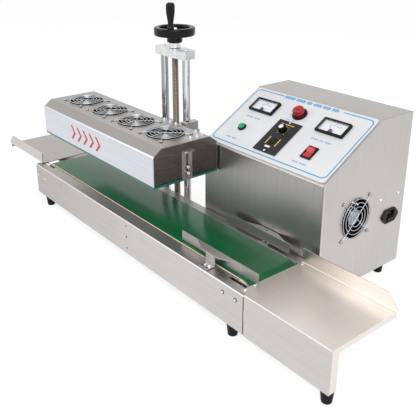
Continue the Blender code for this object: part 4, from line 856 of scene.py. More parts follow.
class SEALER_OT_fans(Maker):
    """Builds the five fans: moulded frames and chromed wire guards, and a hub label on the cabinet fan"""

    bl_idname = "sealer.fans"
    bl_label = "Fans and guards"

    RINGS = (0.0150, 0.0225, 0.0300, 0.0375)
    HALF, BORE, CORNER = 0.040, 0.038, 0.03575  # half the frame, its bore, and its screws from the axis
    TOP, BOTTOM, BOTTOM_EDGE = -0.0018, -0.0218, -0.0213
    DISC = ((0.0150, -0.0217), (0.0163, BOTTOM_EDGE), (0.0163, -0.0193), (0.0158, -0.0189))

    def make(self):
        tint = self.colours
        black = moulded("fan_frame_black", tint.black, 0.4)
        chrome = polished("guard_chrome", np.array(tint.chrome) * 0.62, 0.28)
        numbers = (1, 2, 3, 4)
        rotors = [f"head_rotor_{number}" for number in numbers] + ["cabinet_rotor"]
        shade(rotors, moulded("rotor_black_moulded", tint.black, 0.35))
        top = node_box("head_shell")[1][2]
        side = node_box("cabinet_chassis")[1][0]
        sites = []
        for number in numbers:
            spot = pivot(f"rotor_{number}_spin") * [1, 1, 0] + [0, 0, top]
            sites.append((f"head_fan_{number}", "head", spot, AXES_UP))
        cabinet_spot = pivot("cabinet_rotor_spin") * [0, 1, 1] + [side, 0, 0]
        sites.append(("cabinet_fan", "root", cabinet_spot, AXES_RIGHT_FAN))
        for name, body, spot, axes in sites:
            frame_parts = [moved(part, spot, axes) for part in self.frame()]
            build(name + "_frame", frame_parts, black, body, "fan_black", [name])
            guard = [moved(part, spot, axes) for part in self.guard()]
            build(name + "_guard", guard, chrome, body, "rod_chrome")
        disc = slab(circle_path(0.0150, steps=40)[:, :2], -0.0046, -0.0042, 0.0001)
        label = moved(disc, cabinet_spot, AXES_RIGHT_FAN)
        build("cabinet_rotor_label", [label], self.label_finish(), "cabinet_rotor", "rotor_black")

    def frame(self):
        """A square frame round a flared bore, a motor disc and four struts below the rotor.

        The outer loop is the squircle r = s / (|cos t|^10 + |sin t|^10)^(1/10); the bore is a circle.
        """
        t = angles(72)
        outer = self.HALF / (np.abs(np.cos(t)) ** 10 + np.abs(np.sin(t)) ** 10) ** 0.1
        bore = np.full_like(t, self.BORE)
        eased = outer - 0.0005
        rows = [(bore, self.BOTTOM), (eased, self.BOTTOM), (outer, self.BOTTOM_EDGE)]
        rows += [(outer, self.TOP - 0.0005), (eased, self.TOP)]
        rows += [(bore + 0.0010, self.TOP), (bore + 0.0003, -0.0026), (bore, -0.0042)]
        loops = rings(np.stack([row[0] for row in rows]), t, np.array([row[1] for row in rows])[:, None])
        strut = slab(rounded(0.024, 0.004, 0.0008, 2), -0.0215, -0.0191, 0.0004, (0.0268, 0))
        struts = [moved(strut, axes=spin(turn)) for turn in angles(4)]
        return [shell(loops, cyclic=True), turned(self.DISC, 40), *struts]

    def guard(self):
        """Concentric rings on two crossed wires that end in eyelets under the four screws."""
        lift, radius = self.sizes.guard_lift, self.sizes.wire
        parts = [wire(circle_path(ring, lift), radius, cyclic=True) for ring in self.RINGS]
        corner = self.CORNER
        share = np.linspace(-1, 1, 33)
        end = np.clip((np.abs(share) - 0.9) / 0.1, 0, 1)
        dip = lift - 1.2 * radius - (lift - 2.2 * radius) * end * 0.4
        for side in (1, -1):
            parts.append(wire(np.column_stack([share * corner, side * share * corner, dip]), radius))
        eyelet = wire(circle_path(0.0030, steps=24), radius * 0.9, cyclic=True)
        head = screw_head(0.0030, 0.0016)
        for x, y in ((1, 1), (-1, 1), (-1, -1), (1, -1)):
            parts.append(moved(eyelet, (x * corner, y * corner, lift - 1.9 * radius)))
            parts.append(moved(head, (x * corner, y * corner, lift - 0.0010)))
        return parts

    def label_finish(self):
        """Silver paper with blue flecks in place of its print."""
        silver, blue = (0.60, 0.64, 0.70), (0.22, 0.36, 0.60)
        finish = Finish("hub_label_silver", silver, 0.35, 0.2)
        fleck = finish.noise(220.0, detail=2.0)
        finish.join(finish.mix(finish.span(fleck, 0, 0.8, 0.45, 0.6), silver, blue), "Base Color")
        finish.roughen((fleck, 0.3, 0.45))
        return finish.material


class SEALER_OT_head(Maker):
    """Finishes the sealing head: board, coil, direction marks, gauge screws and studs"""

    bl_idname = "sealer.head"
    bl_label = "Sealing head"

    CHEVRON = ((0, -0.5), (0.26, -0.5), (0.72, 0.0), (0.26, 0.5), (0, 0.5), (0.46, 0.0))
    FIRST_MARK, MARK_PITCH = 0.126, 0.84  # from the shell's left end; in mark heights
    # x, and the distance in front of the shell's rear edge
    STUDS = ((-0.020, 0.024), (0.0, 0.024), (0.020, 0.024), (0.085, 0.024), (0.105, 0.024),
             (0.110, 0.040), (0.110, 0.056))

    def make(self):
        tint = self.colours
        shade(["head_board"], self.laminate())
        shade(["induction_coil"], self.litz())
        low, high = node_box("head_shell")
        tall = self.sizes.mark_height
        middle = (low[2] + high[2] - 0.014) / 2
        starts = low[0] + self.FIRST_MARK + np.arange(5) * tall * self.MARK_PITCH
        marks = [self.mark(np.array(self.CHEVRON) * tall, (start, low[1], middle)) for start in starts]
        red = enamelled("mark_red", (0.62, 0.02, 0.03), 0.35)
        build("direction_marks", marks, red, "head", "head_steel")
        bright = polished("head_screw", tint.chrome, 0.22)
        points = node_points("head_end_right")
        face = points[:, 0].max()
        studs = points[points[:, 0] > face - 0.0001]
        level = studs[:, 2].mean()
        halves = (studs[studs[:, 2] < level], studs[studs[:, 2] > level])
        spots = [(face, studs[:, 1].mean(), half[:, 2].mean()) for half in halves]
        build("gauge_screws", screws(spots, AXES_RIGHT, scale=1.3), bright, "head", "gauge_steel")
        stud = turned([(0.0015, 0), (0.0016, 0.0040), (0.0012, 0.0046)], 16)
        nut = turned([(0.0030, 0), (0.0033, 0.0003), (0.0033, 0.0018), (0.0029, 0.0021)], 6)
        places = [(x, high[1] - inset, high[2]) for x, inset in self.STUDS]
        parts = [moved(part, place) for place in places for part in (stud, nut)]
        build("head_studs", parts, bright, "head", "head_steel")

    def mark(self, loop, origin):
        """A printed shape: its outline raised by a hair in front of the face."""
        points, sides = shell([at(loop, z) for z in (-SINK, self.sizes.print_height)], ends=False)
        caps = np.array([[0, 1, 2, 5], [5, 2, 3, 4]])
        faces = np.concatenate([sides, caps[:, ::-1], caps + len(loop)])
        return moved((points, faces), origin, AXES_FRONT)

    def laminate(self):
        """Glass-fibre laminate: a woven pattern under a green resin."""
        resin = {"Coat Weight": 0.3, "Coat Roughness": 0.15}
        finish = Finish("board_laminate", self.colours.board, 0.3, 0.0, **resin)
        weave = finish.sum(finish.wave("X", 160.0), finish.wave("Y", 160.0), "MULTIPLY")
        finish.join(finish.mix(weave, finish.base * 0.8, finish.base * 1.3), "Base Color")
        finish.roughen((weave, 0.26, 0.36, 0, 1))
        finish.bump(weave, 0.1, 0.00005)
        return finish.material

    def litz(self):
        """Varnished copper strands that run slantwise round the cable."""
        finish = Finish("coil_litz", (0.42, 0.17, 0.07), 0.35, 0.8)
        strand = finish.wave("DIAGONAL", 240.0, (1, 0.6, 1), Distortion=1.5)
        finish.join(finish.mix(strand, finish.base * 0.6, finish.base * 1.2), "Base Color")
        finish.roughen((strand, 0.3, 0.45, 0, 1))
        finish.bump(strand, 0.4, 0.0002)
        return finish.material


class SEALER_OT_column(Maker):
    """Builds the rods, the threaded lead screw and the blocks of the column"""

    bl_idname = "sealer.column"
    bl_label = "Column and lead screw"

    def make(self):
        tint = self.colours
        chrome = reflection_streaked("rod_chromed", tint.chrome)
        for node in ("rod_left", "rod_right"):
            low, high = node_box(node)
            radius, tall = (high[0] - low[0]) / 2, high[2] - low[2]
            profile = [(radius - 0.001, 0), (radius, 0.001), (radius, tall - 0.001), (radius - 0.001, tall)]
            rod = moved(turned(profile, 64), (*((low + high) / 2)[:2], low[2]))
            build(node + "_ground", [rod], chrome, "root", "rod_chrome", [node])
        metal = milled("column_milled", tint.aluminium, 0.26)
        shade(["column_cap", "column_foot"], metal)
        self.mill_carriage(tint)
        self.cut_screw()
        top = node_box("column_cap")[1][2]
        heads = screws([(*place, top) for place in self.rod_tops()], AXES_UP, scale=1.4)
        build("cap_screws", heads, polished("cap_screw", tint.chrome, 0.2), "root", "column_aluminium")

    def mill_carriage(self, tint):
        """Three bored cells side by side, lower than the head, and a raised clamp at the right end.

        A cell is a rectangle whose upper and lower faces shrink onto a round bore.
        """
        metal = milled("carriage_milled", (0.50, 0.49, 0.485), 0.32)
        low, high = node_box("head_carriage")
        rods = self.rod_tops()
        middles = [rods[0], tuple(pivot("handwheel_turn")[:2]), rods[1]]
        halfway = [(first[0] + second[0]) / 2 for first, second in zip(middles, middles[1:])]
        cuts = [low[0] + 0.006, *halfway, high[0] - 0.006]
        drop, bore = 0.021, 0.0085
        parts = []
        for (x, y), start, stop in zip(middles, cuts, cuts[1:]):
            width, deep = stop - start - 0.0001, high[1] - low[1] - 0.0002
            outer = rounded(width, deep, 0.0015, 11) + [(start + stop) / 2, (low[1] + high[1]) / 2]
            t = np.arctan2(outer[:, 1] - y, outer[:, 0] - x)
            inner = np.column_stack([x + bore * np.cos(t), y + bore * np.sin(t)])
            rows = [(inner, low[2]), (outer, low[2]), (outer, high[2] - drop), (inner, high[2] - drop)]
            parts.append(shell([at(outline, z) for outline, z in rows], cyclic=True))
        clamp = rounded(0.016, high[1] - low[1] - 0.006, 0.002, 5)
        spot = (high[0] - 0.0145, (low[1] + high[1]) / 2)
        parts.append(slab(clamp, high[2] - drop - 0.001, high[2] - 0.001, 0.0005, spot))
        build("carriage_cells", parts, metal, "head", "carriage_aluminium", ["head_carriage"])
        black = moulded("carriage_screw_black", tint.black, 0.3)
        head = screws([(spot[0], spot[1] - 0.006, high[2] - 0.001)], AXES_UP, scale=1.3)
        build("carriage_screws", head, black, "head", "carriage_aluminium")

    def rod_tops(self):
        return [tuple(sum(node_box(node))[:2] / 2) for node in ("rod_left", "rod_right")]

    def cut_screw(self):
        """The thread: radius = outer - depth w(z / pitch - t / turn), with w a rounded triangle wave."""
        points = node_points("lead_screw")
        low, high = points.min(0), points.max(0)
        middle = pivot("handwheel_turn")
        radii = np.hypot(points[:, 0] - middle[0], points[:, 1] - middle[1])
        collar = radii.max()
        on_collar = points[radii > collar - 0.0005][:, 2]
        collar_low, collar_high = on_collar.min(), on_collar.max()
        outer = radii[points[:, 2] < low[2] + 0.001].max()
        sizes = self.sizes
        rows = int((collar_low - low[2]) / sizes.thread_pitch * 8)
        z = np.linspace(low[2], collar_low, rows)[:, None]
        t = angles(32)[None, :]
        phase = (z / sizes.thread_pitch - t / (2 * math.pi)) % 1
        wave = np.clip(1.6 * np.abs(2 * phase - 1) - 0.3, 0, 1)
        fade = np.clip(np.minimum(z - low[2], collar_low - z) / 0.002, 0, 1)
        radius = outer - sizes.thread_depth * (wave * fade + (1 - fade))
        place = (*middle[:2], 0)
        thread = moved(shell(rings(radius, t, z)), place)
        bronze = polished("screw_bronze_rolled", self.colours.bronze, 0.3)
        build("lead_screw_thread", [thread], bronze, "lift_screw", "screw_bronze", ["lead_screw"])
        edge = 0.0008
        profile = [(0.0045, collar_low - 0.0002), (collar - edge, collar_low), (collar, collar_low + edge)]
        profile += [(collar, collar_high - edge), (collar - edge, collar_high), (0.0059, collar_high)]
        profile += [(0.0059, high[2] - 0.0005), (0.0054, high[2])]
        ring = moved(turned(profile, 48), place)
        bright = milled("collar_turned", self.colours.aluminium, 0.22)
        build("screw_collar", [ring], bright, "lift_screw", "column_aluminium")


class SEALER_OT_handwheel(Maker):
    """Builds the handwheel, its hub nut and the crank handle

    The rim's section is a rounded box: the cosine and sine of the angle, each raised to the power 0.4
    with its sign kept, times half the rim's width and height.
    """

    bl_idname = "sealer.handwheel"
    bl_label = "Handwheel"

    # (radius, height over the wheel's underside)
    HUB = ((0.0120, 0.0003), (0.0156, 0.0003), (0.0160, 0.0010), (0.0160, 0.0190), (0.0145, 0.0225),
           (0.0125, 0.0237), (0.0085, 0.0240), (0.0060, 0.0238))
    NUT = ((0.0062, 0.0236), (0.0066, 0.0262), (0.0058, 0.0285), (0.0030, 0.0296))

    def make(self):
        black = moulded("wheel_phenolic", self.colours.black, 0.2, 1600.0, 0.05, 0.2)
        low, high = node_box("handwheel")
        axis = pivot("handwheel_turn")
        crank = pivot("crank_spin")
        handle_low, handle_high = node_box("crank_handle")
        rim_top = handle_low[2] - 0.0003
        outer = (high[0] - low[0]) / 2
        inner = outer - 2 * (outer - np.hypot(*(crank - axis)[:2]))
        rim_low = rim_top - 0.017
        t = angles(20)
        circle = np.column_stack([np.cos(t), np.sin(t)])
        half = np.array([outer - inner, rim_top - rim_low]) / 2
        section = np.sign(circle) * np.abs(circle) ** 0.4 * half + [inner + half[0], rim_low + half[1]]
        foot = [0, low[2]]
        arms = self.spokes(inner, rim_low + 0.0045, math.atan2(*(crank - axis)[[1, 0]]))
        place = (*axis[:2], 0)
        parts = [turned(section, 96, cyclic=True), turned(np.array(self.HUB) + foot, 64), *arms]
        wheel = [moved(part, place) for part in parts]
        build("handwheel_moulding", wheel, black, "lift_screw", "wheel_black", ["handwheel"])
        bright = polished("spindle_steel", self.colours.chrome, 0.18)
        tip = handle_high[2] - 0.0065
        spindle = [(0.0028, rim_top - 0.0080), (0.0030, rim_top - 0.0075)]
        spindle += [(0.0030, tip - 0.0003), (0.0026, tip)]
        nut = moved(turned(np.array(self.NUT) + foot, 6), place)
        parts = [moved(turned(spindle, 32), (*crank[:2], 0)), nut]
        build("wheel_hardware", parts, bright, "lift_screw", "rod_chrome")
        self.turn_handle(handle_low, handle_high, crank, black)

    def spokes(self, inner, height, start):
        """Three arms: elliptic sections carried from the hub to the rim, lowest in their middle."""
        share = np.linspace(0, 1, 14)[:, None]
        t = angles(20)[None, :]
        across = 0.0062 - 0.0012 * np.sin(math.pi * share)
        reach = np.broadcast_to(0.012 + (inner + 0.003 - 0.012) * share, (14, 20))
        z = height - 0.0010 * np.sin(math.pi * share) + 0.0033 * np.sin(t)
        arm = shell(np.stack([reach, across * np.cos(t), np.broadcast_to(z, reach.shape)], -1))
        return [moved(arm, axes=spin(start + turn)) for turn in angles(3)]

    def turn_handle(self, low, high, crank, finish):
        """A handle that swells towards its top: the radius eases from neck to head by a cosine."""
        tall = high[2] - low[2]
        top = (high[0] - low[0]) / 2
        share = np.linspace(0, 1, 16)
        swell = 0.0055 + (top - 0.0055) * (1 - np.cos(math.pi * share)) / 2
        body = np.column_stack([swell, 0.006 + (tall - 0.019) * share])
        crown = np.linspace(0, math.pi / 2, 8)[1:]
        cap = np.column_stack([top - 0.005 + 0.005 * np.cos(crown), tall - 0.0065 + 0.0065 * np.sin(crown)])
        bore = [(0.0033, tall - 0.0060), (0.0033, 0.0)]
        foot = [(0.0064, 0.0), (0.0068, 0.0006), (0.0068, 0.0035), (0.0062, 0.0046)]
        profile = np.concatenate([bore, foot, body, [(top, tall - 0.0065)], cap])
        part = moved(turned(profile, 48), (*crank[:2], low[2]))
        build("crank_handle_turned", [part], finish, "crank", "wheel_black", ["crank_handle"])


class SEALER_OT_panel(Maker):
    """Prints the blue border and label rows on the enamelled plate"""

    bl_idname = "sealer.panel"
    bl_label = "Control plate"

    # start and middle height of a row, its letters' height, and the strokes in each word
    ROWS = (
        (0.037, 0.0830, 0.0042, (7, 6)),
        (0.036, 0.0220, 0.0042, (5, 4)),
        (0.128, 0.1035, 0.0032, (4, 3)),
        (0.211, 0.0800, 0.0042, (6, 3, 5)),
        (0.213, 0.0210, 0.0042, (5, 6)),
    )
    GAP = (0.0775, 0.2270)  # where the title interrupts the border

    def make(self):
        tint = self.colours
        shade(["control_plate"], enamelled("plate_enamel", tint.plate, 0.3))
        height = self.sizes.print_height
        left, right, low, high, corner = 0.0045, PLATE_W - 0.0045, 0.0085, PLATE_L - 0.0060, 0.010
        outline = rounded(right - left, high - low, corner, 10) + [(left + right) / 2, (low + high) / 2]
        start, stop = self.GAP
        path = np.concatenate([[(start, high)], np.roll(outline, -11, axis=0), [(stop, high)]])
        parts = [band(self.fill(path), self.sizes.border_width, -SINK, height)]
        rows = word_row(0.0800, high - 0.0005, 0.0090, (11, 9, 5, 8, 7, 6), 0.0034, 0.0020, 0.0026)
        for row in self.ROWS:
            rows += word_row(*row)
        parts.append(dashes(rows, -SINK, height))
        build_on_slope("panel_print", parts, enamelled("print_blue", tint.blue, 0.35), "root", "plate_grey")

    def fill(self, path):
        """The path with its long runs split, so that their line keeps its width round the corners."""
        step = np.linalg.norm(np.diff(path, axis=0), axis=1)
        along = np.concatenate([[0], np.cumsum(step)])
        extra = np.concatenate([along, along[:-1] + 0.0004, along[1:] - 0.0004])
        wanted = np.unique(np.round(np.clip(extra, 0, along[-1]), 7))
        return np.column_stack([np.interp(wanted, along, path[:, axis]) for axis in (0, 1)])


class SEALER_OT_meters(Maker):
    """Builds the two panel meters: dials, scales, needles and windows"""

    bl_idname = "sealer.meters"
    bl_label = "Panel meters"

    FLOOR, TOP = 0.0012, 0.0058  # heights of the dial and of the case over the plate

    def make(self):
        tint = self.colours
        black = moulded("meter_case_black", tint.black, 0.25, 1500.0)
        white = enamelled("dial_white", tint.dial, 0.4)
        ink = enamelled("dial_ink", (0.03, 0.035, 0.05), 0.45)
        needle = enamelled("needle_red_lacquer", (0.55, 0.02, 0.02), 0.3)
        window = clear("meter_window", (0.95, 0.97, 1.0), 0.10)
        for kind, numbers in (("current", ("0", "10", "20")), ("voltage", ("0", "150", "300"))):
            node = kind + "_meter"
            low, high = slope_box(node)
            middle = middle_of((low, high))[:2]
            centre = ((pivot(kind + "_needle_swing") - SLOPE_ORIGIN) @ SLOPE_AXES)[:2]
            top = self.TOP
            outer, inner = rounded(*(high - low)[:2], 0.0012, 4), rounded(0.0545, 0.0268, 0.0008, 4)
            rows = [(outer, 0.0001), (outer, top - 0.0006), (outer * 0.985, top)]
            rows += [(inner * 1.02, top), (inner, self.FLOOR - 0.0002)]
            case = shell([at(outline + middle, z) for outline, z in rows], cyclic=True)
            build_on_slope(kind + "_meter_case", [case], black, "root", "meter_black", [node])
            self.lay_dial(kind, middle, centre, numbers, white, ink)
            self.swing_needle(kind, centre, needle)
            boss = self.boss(centre, middle[1] - 0.0128)
            build_on_slope(kind + "_boss", [boss], black, "root", "meter_black")
            pane = slab(rounded(0.0541, 0.0264, 0.0006, 3), top - 0.0014, top - 0.0006, 0.0002, middle)
            build_on_slope(kind + "_window", [pane], window, "root", "meter_black")

    def lay_dial(self, kind, middle, centre, numbers, white, ink):
        """A white card, an arc of even ticks about the needle's pivot, and three numbers."""
        floor = self.FLOOR
        card = slab(rounded(0.0550, 0.0273, 0.0005, 3), floor - 0.0006, floor + 0.00012, 0.00003, middle)
        build_on_slope(kind + "_dial", [card], white, "root", "meter_black")
        low, high = floor + 0.0001, floor + 0.00017
        sweep = np.radians(np.linspace(132, 48, 49))
        arc = np.column_stack([np.cos(sweep), np.sin(sweep)])
        thick_and_thin = ((0.0142, 0.00032), (0.0150, 0.00018))
        parts = [band(centre + radius * arc, width, low, high) for radius, width in thick_and_thin]
        for number, t in enumerate(np.radians(np.linspace(132, 48, 21))):
            long = number % 5 == 0
            ends = np.array([0.0142, 0.0164 if long else 0.0155])[:, None]
            path = centre + ends * [math.cos(t), math.sin(t)]
            parts.append(band(path, 0.00036 if long else 0.0002, low, high))
        for text, t in zip(numbers, np.radians([129, 90, 51])):
            spot = centre + 0.0185 * np.array([math.cos(t), math.sin(t)])
            parts.append(self.figure(text, spot, low, high))
        build_on_slope(kind + "_scale", parts, ink, "root", "meter_black")

    STROKES = {
        "0": ((0, 0), (1, 0), (1, 2), (0, 2), (0, 0)),
        "1": ((0.5, 0), (0.5, 2)),
        "2": ((0, 2), (1, 2), (1, 1), (0, 1), (0, 0), (1, 0)),
        "3": ((0, 2), (1, 2), (1, 1), (0.2, 1), (1, 1), (1, 0), (0, 0)),
        "5": ((1, 2), (0, 2), (0, 1), (1, 1), (1, 0), (0, 0)),
    }

    def figure(self, text, spot, low, high):
        """A number written with plain strokes, each a flat band between two corners."""
        parts = []
        for place, digit in enumerate(text):
            start = spot + [(place - (len(text) - 1) / 2) * 0.0017 - 0.0005, -0.0010]
            stroke = np.array(self.STROKES[digit]) * [0.0010, 0.0010] + start
            for first, second in zip(stroke, stroke[1:]):
                run = (second - first) / np.linalg.norm(second - first) * 0.00013
                parts.append(band([first - run, second + run], 0.00026, low, high))
        return merged(parts)

    def swing_needle(self, kind, centre, finish):
        """A slim taper from a round hub, with a short tail: half width = 0.00038 (1 - 0.6 |s|)."""
        rest = math.radians(90 + 42)
        along, across = spin(rest)[:2, :2].T
        share = np.linspace(-0.2, 1, 13)
        half = 0.00038 * (1 - 0.6 * np.abs(share))
        line, aside = np.outer(share * 0.0160, along), np.outer(half, across)
        outline = np.concatenate([line - aside, (line + aside)[::-1]])
        heights = (self.FLOOR + 0.0006, self.FLOOR + 0.0010)
        points, faces = shell([at(centre + outline, z) for z in heights], ends=False)
        count = len(outline)
        index = np.arange(12)
        cap = np.stack([index, index + 1, count - 2 - index, count - 1 - index], 1)
        hand = (points, np.concatenate([faces, cap[:, ::-1], cap + count]))
        hub = turned([(0.0010, 0.0004), (0.0021, 0.0004), (0.0021, 0.0012), (0.0016, 0.0015)], 32)
        parts = [hand, moved(hub, (*centre, self.FLOOR))]
        names = (kind + "_needle", "needle_red", [kind + "_meter_needle"])
        build_on_slope(kind + "_needle_slim", parts, finish, *names)

    def boss(self, centre, foot):
        """A half-round cover over the pivot: a half circle closed by a straight foot."""
        t = np.linspace(0, math.pi, 21)
        arc = np.column_stack([centre[0] + 0.0042 * np.cos(t), centre[1] + 0.0030 * np.sin(t)])
        outline = np.concatenate([arc, [(centre[0] - 0.0042, foot), (centre[0] + 0.0042, foot)]])
        return slab(outline, self.FLOOR + 0.0021, self.FLOOR + 0.0034, 0.0004)


class SEALER_OT_lamp_and_button(Maker):
    """Builds the red lamp and the green start button with its black ring"""

    bl_idname = "sealer.lamp_and_button"
    bl_label = "Lamp and start button"

    def make(self):
        tint = self.colours
        black = moulded("lamp_body_black", tint.black, 0.25, 1500.0)
        box = slope_box("warning_lamp")
        place, top = (*middle_of(box)[:2], 0), box[1][2]
        foot = 0.0003
        base = [(0.0140, foot), (0.0148, foot), (0.0150, foot + 0.0005), (0.0150, foot + 0.0032)]
        base += [(0.0143, foot + 0.0042), (0.0131, foot + 0.0046), (0.0128, foot + 0.0030)]
        build_on_slope("lamp_body", [moved(turned(base, 64), place)], black, "root", "lamp_red")
        crown = np.linspace(0, math.pi / 2, 9)
        side = [(0.0108, foot + 0.0020), (0.0113, foot + 0.0040), (0.0112, top - 0.0052)]
        dome = np.column_stack([0.0062 + 0.0048 * np.cos(crown), top - 0.0040 + 0.0036 * np.sin(crown)])
        dish = [(0.0055, top - 0.0010), (0.0035, top - 0.0012), (0.0032, top - 0.0003), (0.0015, top)]
        profile = np.concatenate([side, dome, dish])
        cap = moved(turned(profile, 144, self.sizes.lens_ribs, 0.05), place)
        red = lens("lamp_lens_red", np.array(tint.red) * 0.72)
        build_on_slope("lamp_lens", [cap], red, "root", "lamp_red", ["warning_lamp"])
        box = slope_box("start_button")
        place, top = (*middle_of(box)[:2], 0), box[1][2]
        crown = np.linspace(0, math.pi / 2, 7)
        rim = np.column_stack([0.0050 + 0.0013 * np.cos(crown), top - 0.0013 + 0.0013 * np.sin(crown)])
        plunger = [(0.0040, -0.0120), (0.0044, -0.0115), (0.0044, -0.0030), (0.0063, -0.0024)]
        plunger = np.concatenate([plunger, rim, [(0.0030, top - 0.0004), (0.0010, top - 0.0005)]])
        button = moulded("button_green_moulded", tint.green, 0.15, 1500.0, 0.04, 0.5)
        cap = moved(turned(plunger, 48), place)
        build_on_slope("start_button_cap", [cap], button, "start_button", "button_green", ["start_button"])
        ring = [(0.0066, 0.0001), (0.0088, 0.0001), (0.0090, 0.0006), (0.0084, 0.0026)]
        ring += [(0.0076, 0.0034), (0.0068, 0.0034), (0.0066, 0.0028)]
        ring = moved(turned(ring, 48, cyclic=True), place)
        build_on_slope("button_ring", [ring], black, "root", "meter_black")


def rocker_key(node, name, finish, body, slot, tilt=math.radians(10)):
    """A two-winged key: its top is z = t/2 - k (l/2 - |b|), so both wings rise from a valley at the pivot.

    The section is carried across the key, a little smaller at both sides, and leans by its rest tilt.
    """
    low, high = slope_box(node)
    side = (high[0] - low[0]) / 2
    middle = (low + high) / 2
    c, s = math.cos(tilt), math.sin(tilt)
    spread = high[1:] - low[1:]
    span = np.linalg.solve([[c, s], [s, c]], spread)
    half, thick = span[0] / 2, span[1] / 2
    b = np.linspace(-half, half, 17)
    top = thick - 0.30 * (half - np.abs(b)) - 0.0004 * (np.abs(b) > half - 0.0004)
    outline = np.concatenate([np.column_stack([b, top])[::-1], [(-half, -thick), (half, -thick)]])
    rows = [(-side, 0.94), (-side + 0.0005, 1.0), (side - 0.0005, 1.0), (side, 0.94)]
    loops = [np.column_stack([np.full(len(outline), a), outline * k]) for a, k in rows]
    lean = np.array([[1, 0, 0], [0, c, -s], [0, s, c]])
    key = moved(shell(loops), middle, lean)
    build_on_slope(name, [key], finish, body, slot, [node])


class SEALER_OT_speed_unit(Maker):
    """Finishes the speed unit: printed marks, fluted knob and run switch"""

    bl_idname = "sealer.speed_unit"
    bl_label = "Speed unit"

    def make(self):
        tint = self.colours
        shade(["speed_unit"], moulded("unit_face_grey", tint.unit_grey, 0.42, 900.0))
        low, high = slope_box("speed_unit")
        middle, face = (low + high) / 2, high[2]
        knob_low, knob_high = slope_box("speed_knob")
        knob = (knob_low + knob_high) / 2
        rise = self.sizes.print_height
        marks = []
        for number, t in enumerate(np.radians(np.linspace(225, -45, 11))):
            ends = np.array([0.0098, 0.0128 if number % 5 == 0 else 0.0116])[:, None]
            path = knob[:2] + ends * [math.cos(t), math.sin(t)]
            marks.append(band(path, 0.0009, face - SINK, face + rise))
        run = middle_of(slope_box("run_switch"))
        bars = [(run[0] - 0.0125, run[1], 0.0019, 0.019), (run[0] + 0.0125, run[1], 0.0019, 0.019)]
        bars += word_row(middle[0] - 0.017, knob[1] + 0.0155, 0.0034, (2,), 0.003, 0.0024, 0.0034)
        bars += word_row(middle[0] - 0.006, knob[1] + 0.0155, 0.0030, (8,), 0.003, 0.0020, 0.0027)
        marks.append(dashes(bars, face - SINK, face + rise))
        yellow = enamelled("print_yellow", tint.yellow, 0.4)
        build_on_slope("unit_print", marks, yellow, "root", "unit_grey")
        tag = dashes([(run[0] - 0.002, run[1] - 0.0145, 0.013, 0.0042)], face - SINK, face + rise)
        build_on_slope("unit_tag", [tag], enamelled("unit_tag_white", tint.dial, 0.4), "root", "unit_grey")
        on_face = [(middle[0], middle[1] + side * 0.0378, face) for side in (1, -1)]
        spots = [SLOPE_ORIGIN + SLOPE_AXES @ spot for spot in on_face]
        bright = polished("unit_screw", tint.chrome, 0.25)
        build("unit_screws", screws(spots, SLOPE_AXES, scale=0.75), bright, "root", "unit_grey")
        self.turn_knob(knob, knob_low, knob_high, face)
        black = moulded("run_key_black", tint.black, 0.3)
        rocker_key("run_switch", "run_key", black, "run_switch", "knob_black")

    def turn_knob(self, knob, low, high, face):
        """A fluted skirt under a smooth crown, with a white cap and a pointer line."""
        radius = (high[0] - low[0]) / 2
        black = moulded("knob_black_moulded", self.colours.black, 0.28)
        top = high[2]
        pin = [(0.0024, low[2]), (0.0029, low[2] + 0.0005), (0.0029, face + 0.0003)]
        skirt = [(radius - 0.0004, face + 0.0003), (radius, face + 0.0008), (radius - 0.0008, top - 0.0030)]
        crown = [(radius - 0.0016, top - 0.0014), (radius - 0.0028, top - 0.0008)]
        body = turned(skirt + crown + [(0.0030, top - 0.0008)], 108, self.sizes.knob_flutes, 0.10)
        place = (*knob[:2], 0)
        parts = [moved(part, place) for part in (turned(pin, 24), body)]
        build_on_slope("speed_knob_fluted", parts, black, "speed_knob", "knob_black", ["speed_knob"])
        cap = [(0.0040, top - 0.0010), (0.0047, top - 0.0008), (0.0047, top - 0.0003), (0.0042, top)]
        t = math.radians(225)
        path = knob[:2] + np.array([0.0046, radius - 0.0030])[:, None] * [math.cos(t), math.sin(t)]
        line = band(path, 0.0010, top - 0.0009, top - 0.0006)
        white = enamelled("knob_cap_white", self.colours.dial, 0.35)
        parts = [moved(turned(cap, 40), place), line]
        build_on_slope("speed_knob_cap", parts, white, "speed_knob", "knob_black")


class SEALER_OT_power(Maker):
    """Finishes the power switch and the mains inlet"""

    bl_idname = "sealer.power"
    bl_label = "Power switch and inlet"

    PINS = ((-0.0065, 0.0020), (0.0, 0.0033), (0.0065, 0.0020))  # (y, z) from the inlet's middle

    def make(self):
        tint = self.colours
        shade(["power_frame"], moulded("power_frame_black", tint.black, 0.3))
        red = lens("power_key_red", tint.red)
        rocker_key("power_switch", "power_key", red, "power_switch", "power_red")
        shade(["mains_inlet"], moulded("inlet_black_moulded", tint.black, 0.3, 1500.0))
        middle = middle_of(node_box("mains_inlet"))[1:]
        wall = node_box("cabinet_chassis")[1][0]
        bright = polished("inlet_nickel", (0.70, 0.66, 0.58), 0.2)
        parts = []
        outline = rounded(0.0024, 0.0042, 0.0005, 2)
        for spot in self.PINS:
            blade = slab(outline, wall - 0.0095, wall - 0.0020, 0.0003, middle + spot)
            parts.append(moved(blade, axes=AXES_RIGHT))
        build("inlet_pins", parts, bright, "root", "rod_chrome")


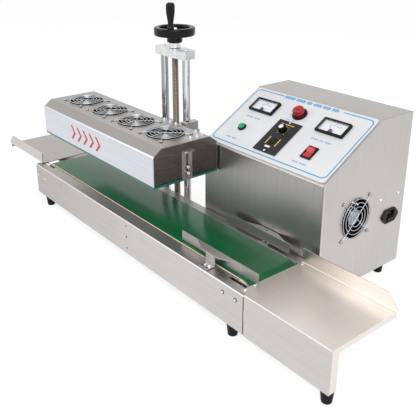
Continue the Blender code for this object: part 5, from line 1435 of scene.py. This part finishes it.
class SEALER_OT_drive(Maker):
    """Finishes the rollers, bearings and gear motor"""

    bl_idname = "sealer.drive"
    bl_label = "Rollers and motor"

    def make(self):
        tint = self.colours
        shade(["drive_roller", "idler_roller"], brushed("roller_turned", tint.steel, "Y", 0.3))
        bearings = sorted(name for name in NODES if name.startswith("bearing_"))
        shade(bearings, milled("bearing_cast_iron", (0.13, 0.135, 0.14), 0.45))
        shade(["gear_motor"], milled("motor_die_cast", (0.40, 0.405, 0.41), 0.42))


class SEALER_PT_looks(bpy.types.Panel):
    """Lists the sizes, the colours and the steps that build the looks"""

    bl_label = "Cap sealer looks"
    bl_idname = "SEALER_PT_looks"
    bl_space_type = "VIEW_3D"
    bl_region_type = "UI"
    bl_category = "Sealer"

    def draw(self, context):
        layout = self.layout
        for group in GROUPS:
            values = getattr(context.scene, group)
            column = layout.column(align=True)
            for name in values.__annotations__:
                column.prop(values, name)
        column = layout.column(align=True)
        for step in STEPS:
            column.operator(step.bl_idname)


STEPS = (
    SEALER_OT_stage,
    SEALER_OT_steelwork,
    SEALER_OT_belt,
    SEALER_OT_feet,
    SEALER_OT_screws,
    SEALER_OT_fans,
    SEALER_OT_head,
    SEALER_OT_column,
    SEALER_OT_handwheel,
    SEALER_OT_panel,
    SEALER_OT_meters,
    SEALER_OT_lamp_and_button,
    SEALER_OT_speed_unit,
    SEALER_OT_power,
    SEALER_OT_drive,
)
GROUPS = {"sealer_sizes": SealerSizes, "sealer_colours": SealerColours, "sealer_studio": SealerStudio}


def register():
    for kind in (*GROUPS.values(), *STEPS, SEALER_PT_looks):
        bpy.utils.register_class(kind)
    for name, kind in GROUPS.items():
        setattr(bpy.types.Scene, name, PointerProperty(type=kind))


def unregister():
    for name in GROUPS:
        delattr(bpy.types.Scene, name)
    for kind in reversed((*GROUPS.values(), *STEPS, SEALER_PT_looks)):
        bpy.utils.unregister_class(kind)


def main():
    register()
    for step in STEPS:
        family, name = step.bl_idname.split(".")
        getattr(getattr(bpy.ops, family), name)()


if __name__ == "__main__":
    main()
